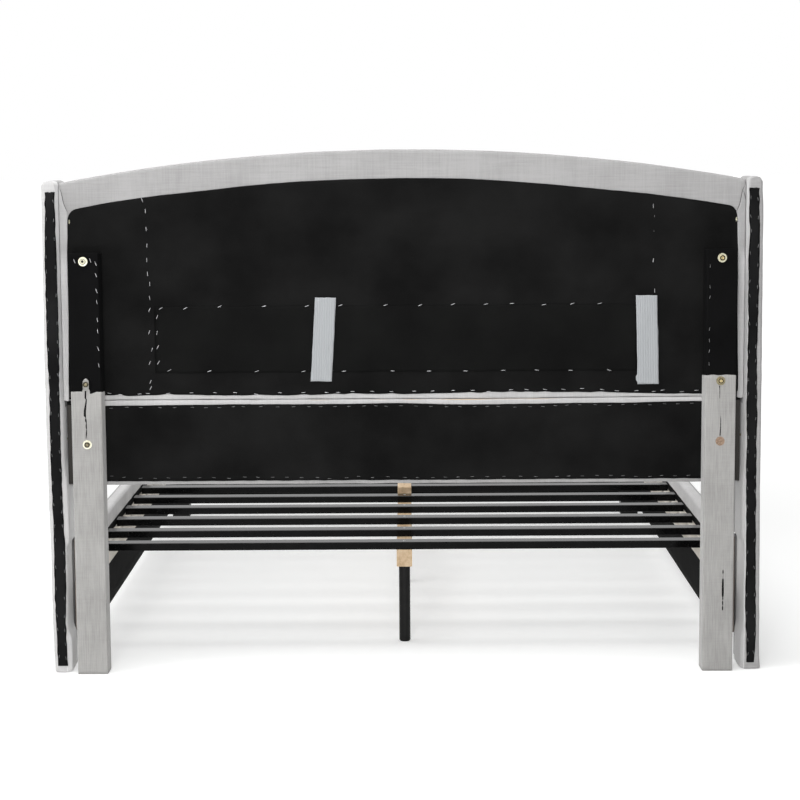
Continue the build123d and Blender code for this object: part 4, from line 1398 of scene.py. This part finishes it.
surroundings = bpy.data.worlds.new("pale_room")
bpy.context.scene.world = surroundings
surroundings.use_nodes = True
tree = surroundings.node_tree
tree.nodes.clear()
way = node(tree, "TexCoord", {}).outputs["Generated"]
axes = node(tree, "SeparateXYZ", {"Vector": way})
around = sums(tree, "MULTIPLY", mapped(tree, axes.outputs["Y"], -0.1, 0.75, 1.0, 0.35), 0.66)
seen = node(tree, "LightPath", {}).outputs["Is Camera Ray"]
glow = node(tree, "Background", {"Color": WHITE, "Strength": sums(tree, "MAXIMUM", seen, around)})
node(tree, "OutputWorld", {"Surface": glow.outputs["Background"]})


def lamp(name, place, target, size, power):
    """A soft square lamp aimed at a point."""
    light = bpy.data.lights.new(name, "AREA")
    light.shape = "SQUARE"
    light.size = size
    light.energy = power
    made = bpy.data.objects.new(name, light)
    made.location = place
    made.rotation_euler = (Vector(target) - Vector(place)).to_track_quat("-Z", "Y").to_euler()
    bpy.context.collection.objects.link(made)


lamp("high_lamp", (1.0, 2.1, 4.4), (0.0, 0.4, 0.3), 3.4, 120.0)
lamp("front_lamp", (0.5, 6.2, 1.9), (0.0, 1.0, 0.6), 1.4, 114.0)
lamp("side_lamp", (4.2, 2.4, 2.4), (0.0, 0.8, 0.6), 2.6, 40.0)

# Camera, where the picture was taken from
IMAGE_SIDE = 800.0
FOCAL = 2043.85
SENSOR = 36.0
EYE_X = -9.613
EYE_DISTANCE = 4782.73
EYE_HEIGHT = 1238.81
pitch = 0.120938858
yaw = -0.00361
roll = -0.0063
ahead = Vector((-math.sin(yaw) * math.cos(pitch), -math.cos(yaw) * math.cos(pitch), -math.sin(pitch)))
right = Vector((-math.cos(yaw), math.sin(yaw), 0.0))
upward = right.cross(ahead)
turned_right = right * math.cos(roll) + upward * math.sin(roll)
turned_up = upward * math.cos(roll) - right * math.sin(roll)
lens = bpy.data.cameras.new("camera")
lens.sensor_width = SENSOR
lens.lens = FOCAL / IMAGE_SIDE * SENSOR
lens.clip_end = 400.0
camera = bpy.data.objects.new("camera", lens)
turn = Matrix((turned_right, turned_up, -ahead)).transposed().to_4x4()
camera.matrix_world = Matrix.Translation(world(EYE_X, -EYE_DISTANCE, EYE_HEIGHT)) @ turn
bpy.context.collection.objects.link(camera)
bpy.context.scene.camera = camera
bpy.context.scene.view_settings.view_transform = "Standard"
